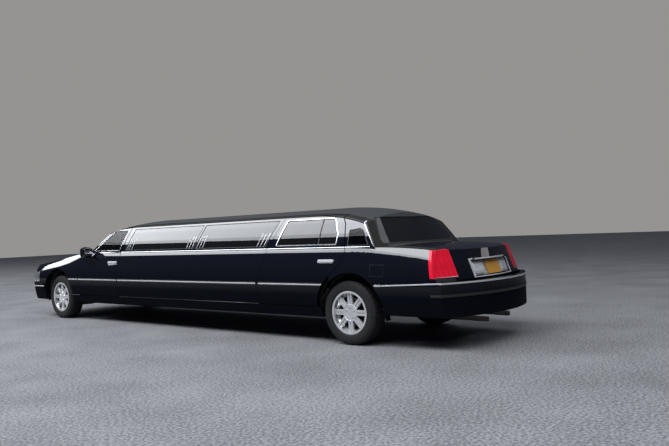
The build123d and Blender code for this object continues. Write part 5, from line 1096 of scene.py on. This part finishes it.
def blow_up(piece):
    """Fills a cushion's cover by cloth pressure, and holds how far each point moves."""
    start = [corner.co.copy() for corner in piece.data.vertices]
    cloth = piece.modifiers.new("stuffing", "CLOTH")
    cloth.settings.use_pressure = True
    cloth.settings.uniform_pressure_force = PRESSURE
    cloth.settings.effector_weights.gravity = 0.0
    cloth.settings.quality = 4
    for tick in range(TICKS):
        bpy.context.scene.frame_set(tick + 1)
    bpy.ops.object.select_all(action="DESELECT")
    bpy.context.view_layer.objects.active = piece
    piece.select_set(True)
    bpy.ops.object.modifier_apply(modifier=cloth.name)
    bpy.context.scene.frame_set(1)
    for corner, before in zip(piece.data.vertices, start):
        moved = corner.co - before
        if moved.length > SWELL_CAP:
            corner.co = before + moved * (SWELL_CAP / moved.length)


def stuffed_cushion(name, outline, across, first, last, seams):
    """Sweeps a cushion's outline along one axis, blows it up a little and sews its channels,
    each an axis and a place on it."""
    shape = bmesh.new()
    ends = []
    for place in (first, last):
        spots = [(place, u, z) if across == ACROSS else (u, place, z) for u, z in outline]
        ends.append([shape.verts.new(spot) for spot in spots])
    for ring in ends:
        shape.faces.new(ring)
    count = len(outline)
    for i in range(count):
        after = (i + 1) % count
        shape.faces.new((ends[0][i], ends[0][after], ends[1][after], ends[1][i]))
    bmesh.ops.recalc_face_normals(shape, faces=shape.faces)
    mesh = bpy.data.meshes.new(name)
    shape.to_mesh(mesh)
    shape.free()
    piece = bpy.data.objects.new(name, mesh)
    bpy.context.scene.collection.objects.link(piece)
    apply_modifier(piece, "BEVEL", width=EDGE_ROUND, segments=3)
    apply_modifier(piece, "REMESH", mode="VOXEL", voxel_size=VOXEL, use_smooth_shade=True)
    blow_up(piece)
    normals = [corner.normal.copy() for corner in piece.data.vertices]
    for corner, normal in zip(piece.data.vertices, normals):
        for axis, place in seams:
            away = (corner.co[axis] - place) / SEAM_WIDE
            corner.co -= normal * SEAM_DEPTH * math.exp(-away * away)
    bpy.context.view_layer.objects.active = piece
    piece.select_set(True)
    active_piece(name, seat_leather, "body")
    return piece


def rounded_block(middle, extent, radius, segments=3):
    """Adds a block with rounded edges and leaves it active."""
    bpy.ops.object.select_all(action="DESELECT")
    bpy.ops.mesh.primitive_cube_add(size=1.0, location=middle, scale=extent)
    bpy.ops.object.transform_apply(location=False, rotation=False, scale=True)
    apply_modifier(bpy.context.object, "BEVEL", width=radius, segments=segments)
    bpy.context.object.select_set(True)


def hard_plinth(name, low, high):
    """The moulded plinth under a seat, between two corners."""
    rounded_block([(a + b) / 2 for a, b in zip(low, high)], [b - a for a, b in zip(low, high)], 0.012)
    active_piece(name, cabin_plastic, "body")


PLINTH_FOOT, PLINTH_TOP = 0.410, 0.515
# Each outline is a section through the cushion: place in its own depth, and height.
FRONT_BASE = ((-2.037, 0.52), (-2.037, 0.690), (-1.56, 0.643), (-1.43, 0.633), (-1.43, 0.52))
FRONT_BACK = ((-1.53, 0.665), (-1.425, 1.100), (-1.335, 1.100), (-1.40, 0.665))
for seat, start, end in (("driver", 0.153, 0.667), ("passenger", -0.667, -0.153)):
    third = (end - start) / 3
    channels = ((ACROSS, start + third), (ACROSS, end - third))
    base = stuffed_cushion(f"{seat}_seat_cushion", FRONT_BASE, ACROSS, start, end,
                           channels + ((ALONG, -1.80),))
    stuffed_cushion(f"{seat}_seat_back", FRONT_BACK, ACROSS, start, end, channels + ((UP, 0.88),))
    hard_plinth(f"{seat}_seat_plinth", (start + 0.02, -2.02, PLINTH_FOOT), (end - 0.02, -1.43, PLINTH_TOP))
    if seat == "driver":
        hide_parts("front_seats")

REAR_BASE = ((1.733, 0.52), (1.733, 0.720), (2.145, 0.684), (2.27, 0.675), (2.27, 0.52))
REAR_BACK = ((2.165, 0.712), (2.300, 1.152), (2.405, 1.152), (2.315, 0.712))
REAR_HALF = 0.687
rear_channels = tuple((ACROSS, -0.52 + step * 0.208) for step in range(6))
rear_base = stuffed_cushion("rear_seat_cushion", REAR_BASE, ACROSS, -REAR_HALF, REAR_HALF, rear_channels)
stuffed_cushion("rear_seat_back", REAR_BACK, ACROSS, -REAR_HALF, REAR_HALF, rear_channels)
hard_plinth("rear_seat_plinth", (-0.68, 1.75, PLINTH_FOOT), (0.68, 2.26, PLINTH_TOP))
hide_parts("rear_seat")

BENCH_BASE = ((-0.313, 0.52), (-0.313, 0.722), (-0.700, 0.684), (-0.785, 0.676), (-0.785, 0.52))
BENCH_BACK = ((-0.700, 0.708), (-0.748, 1.092), (-0.790, 1.092), (-0.790, 0.708))
BENCH_FIRST, BENCH_LAST = -0.387, 1.667
bench_channels = tuple((ALONG, -0.14 + step * 0.26) for step in range(7))
bench_base = stuffed_cushion("bench_cushion", BENCH_BASE, ALONG, BENCH_FIRST, BENCH_LAST, bench_channels)
stuffed_cushion("bench_back", BENCH_BACK, ALONG, BENCH_FIRST, BENCH_LAST, bench_channels)
hard_plinth("bench_plinth", (-0.785, -0.38, PLINTH_FOOT), (-0.33, 1.66, PLINTH_TOP))
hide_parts("side_bench")


# The undersides of the hood and the boot lid carry pressed felt pads, held by clips. They
# end about five centimetres inside the edges.
FELT_THICK = 0.004
felt = dirty_finish("felt", (0.018, 0.018, 0.019), 0.95, clean_height=0.2, grain=(450.0, 0.6))
for lid, border in (("hood", 0.06), ("boot_lid", 0.05)):
    pad = shell_of(lid, lambda face: face.normal.z < -0.8)
    bmesh.ops.dissolve_limit(pad, angle_limit=math.radians(2.0), verts=pad.verts, edges=pad.edges)
    drop_border(pad, border)
    finish_skin(pad, f"felt_pad_{lid}", FELT_THICK, felt, lid, "liner")


# Each door has a padded armrest screwed to its inner trim, with a plated release lever
# above it.
ARMREST_SIZE, ARMREST_OFF, ARMREST_ROUND = (0.054, 0.42, 0.062), 0.024, 0.018
LEVER_SIZE, LEVER_OFF, LEVER_ROUND = (0.014, 0.11, 0.030), 0.006, 0.005
LEVER_AHEAD, LEVER_OVER = 0.12, 0.14


def trim_reach(door, side, y, z):
    """How far out the inner trim of a door lies at one place."""
    return nodes[door].ray_cast(Vector((0, y, z)), Vector((side, 0, 0)))[1].x


for side_name, side in SIDES:
    for panel, middle, level in (("door_front", -1.86, 0.72), ("door_rear", 2.02, 0.74)):
        door = f"{panel}_{side_name}"
        reach = trim_reach(door, side, middle, level)
        rounded_block((reach - side * ARMREST_OFF, middle, level), ARMREST_SIZE, ARMREST_ROUND, 4)
        active_piece(f"armrest_{door}", rim_leather, door)
        lever_y, lever_z = middle - LEVER_AHEAD, level + LEVER_OVER
        reach = trim_reach(door, side, lever_y, lever_z)
        rounded_block((reach - side * LEVER_OFF, lever_y, lever_z), LEVER_SIZE, LEVER_ROUND)
        active_piece(f"release_lever_{door}", bright_plate, door)
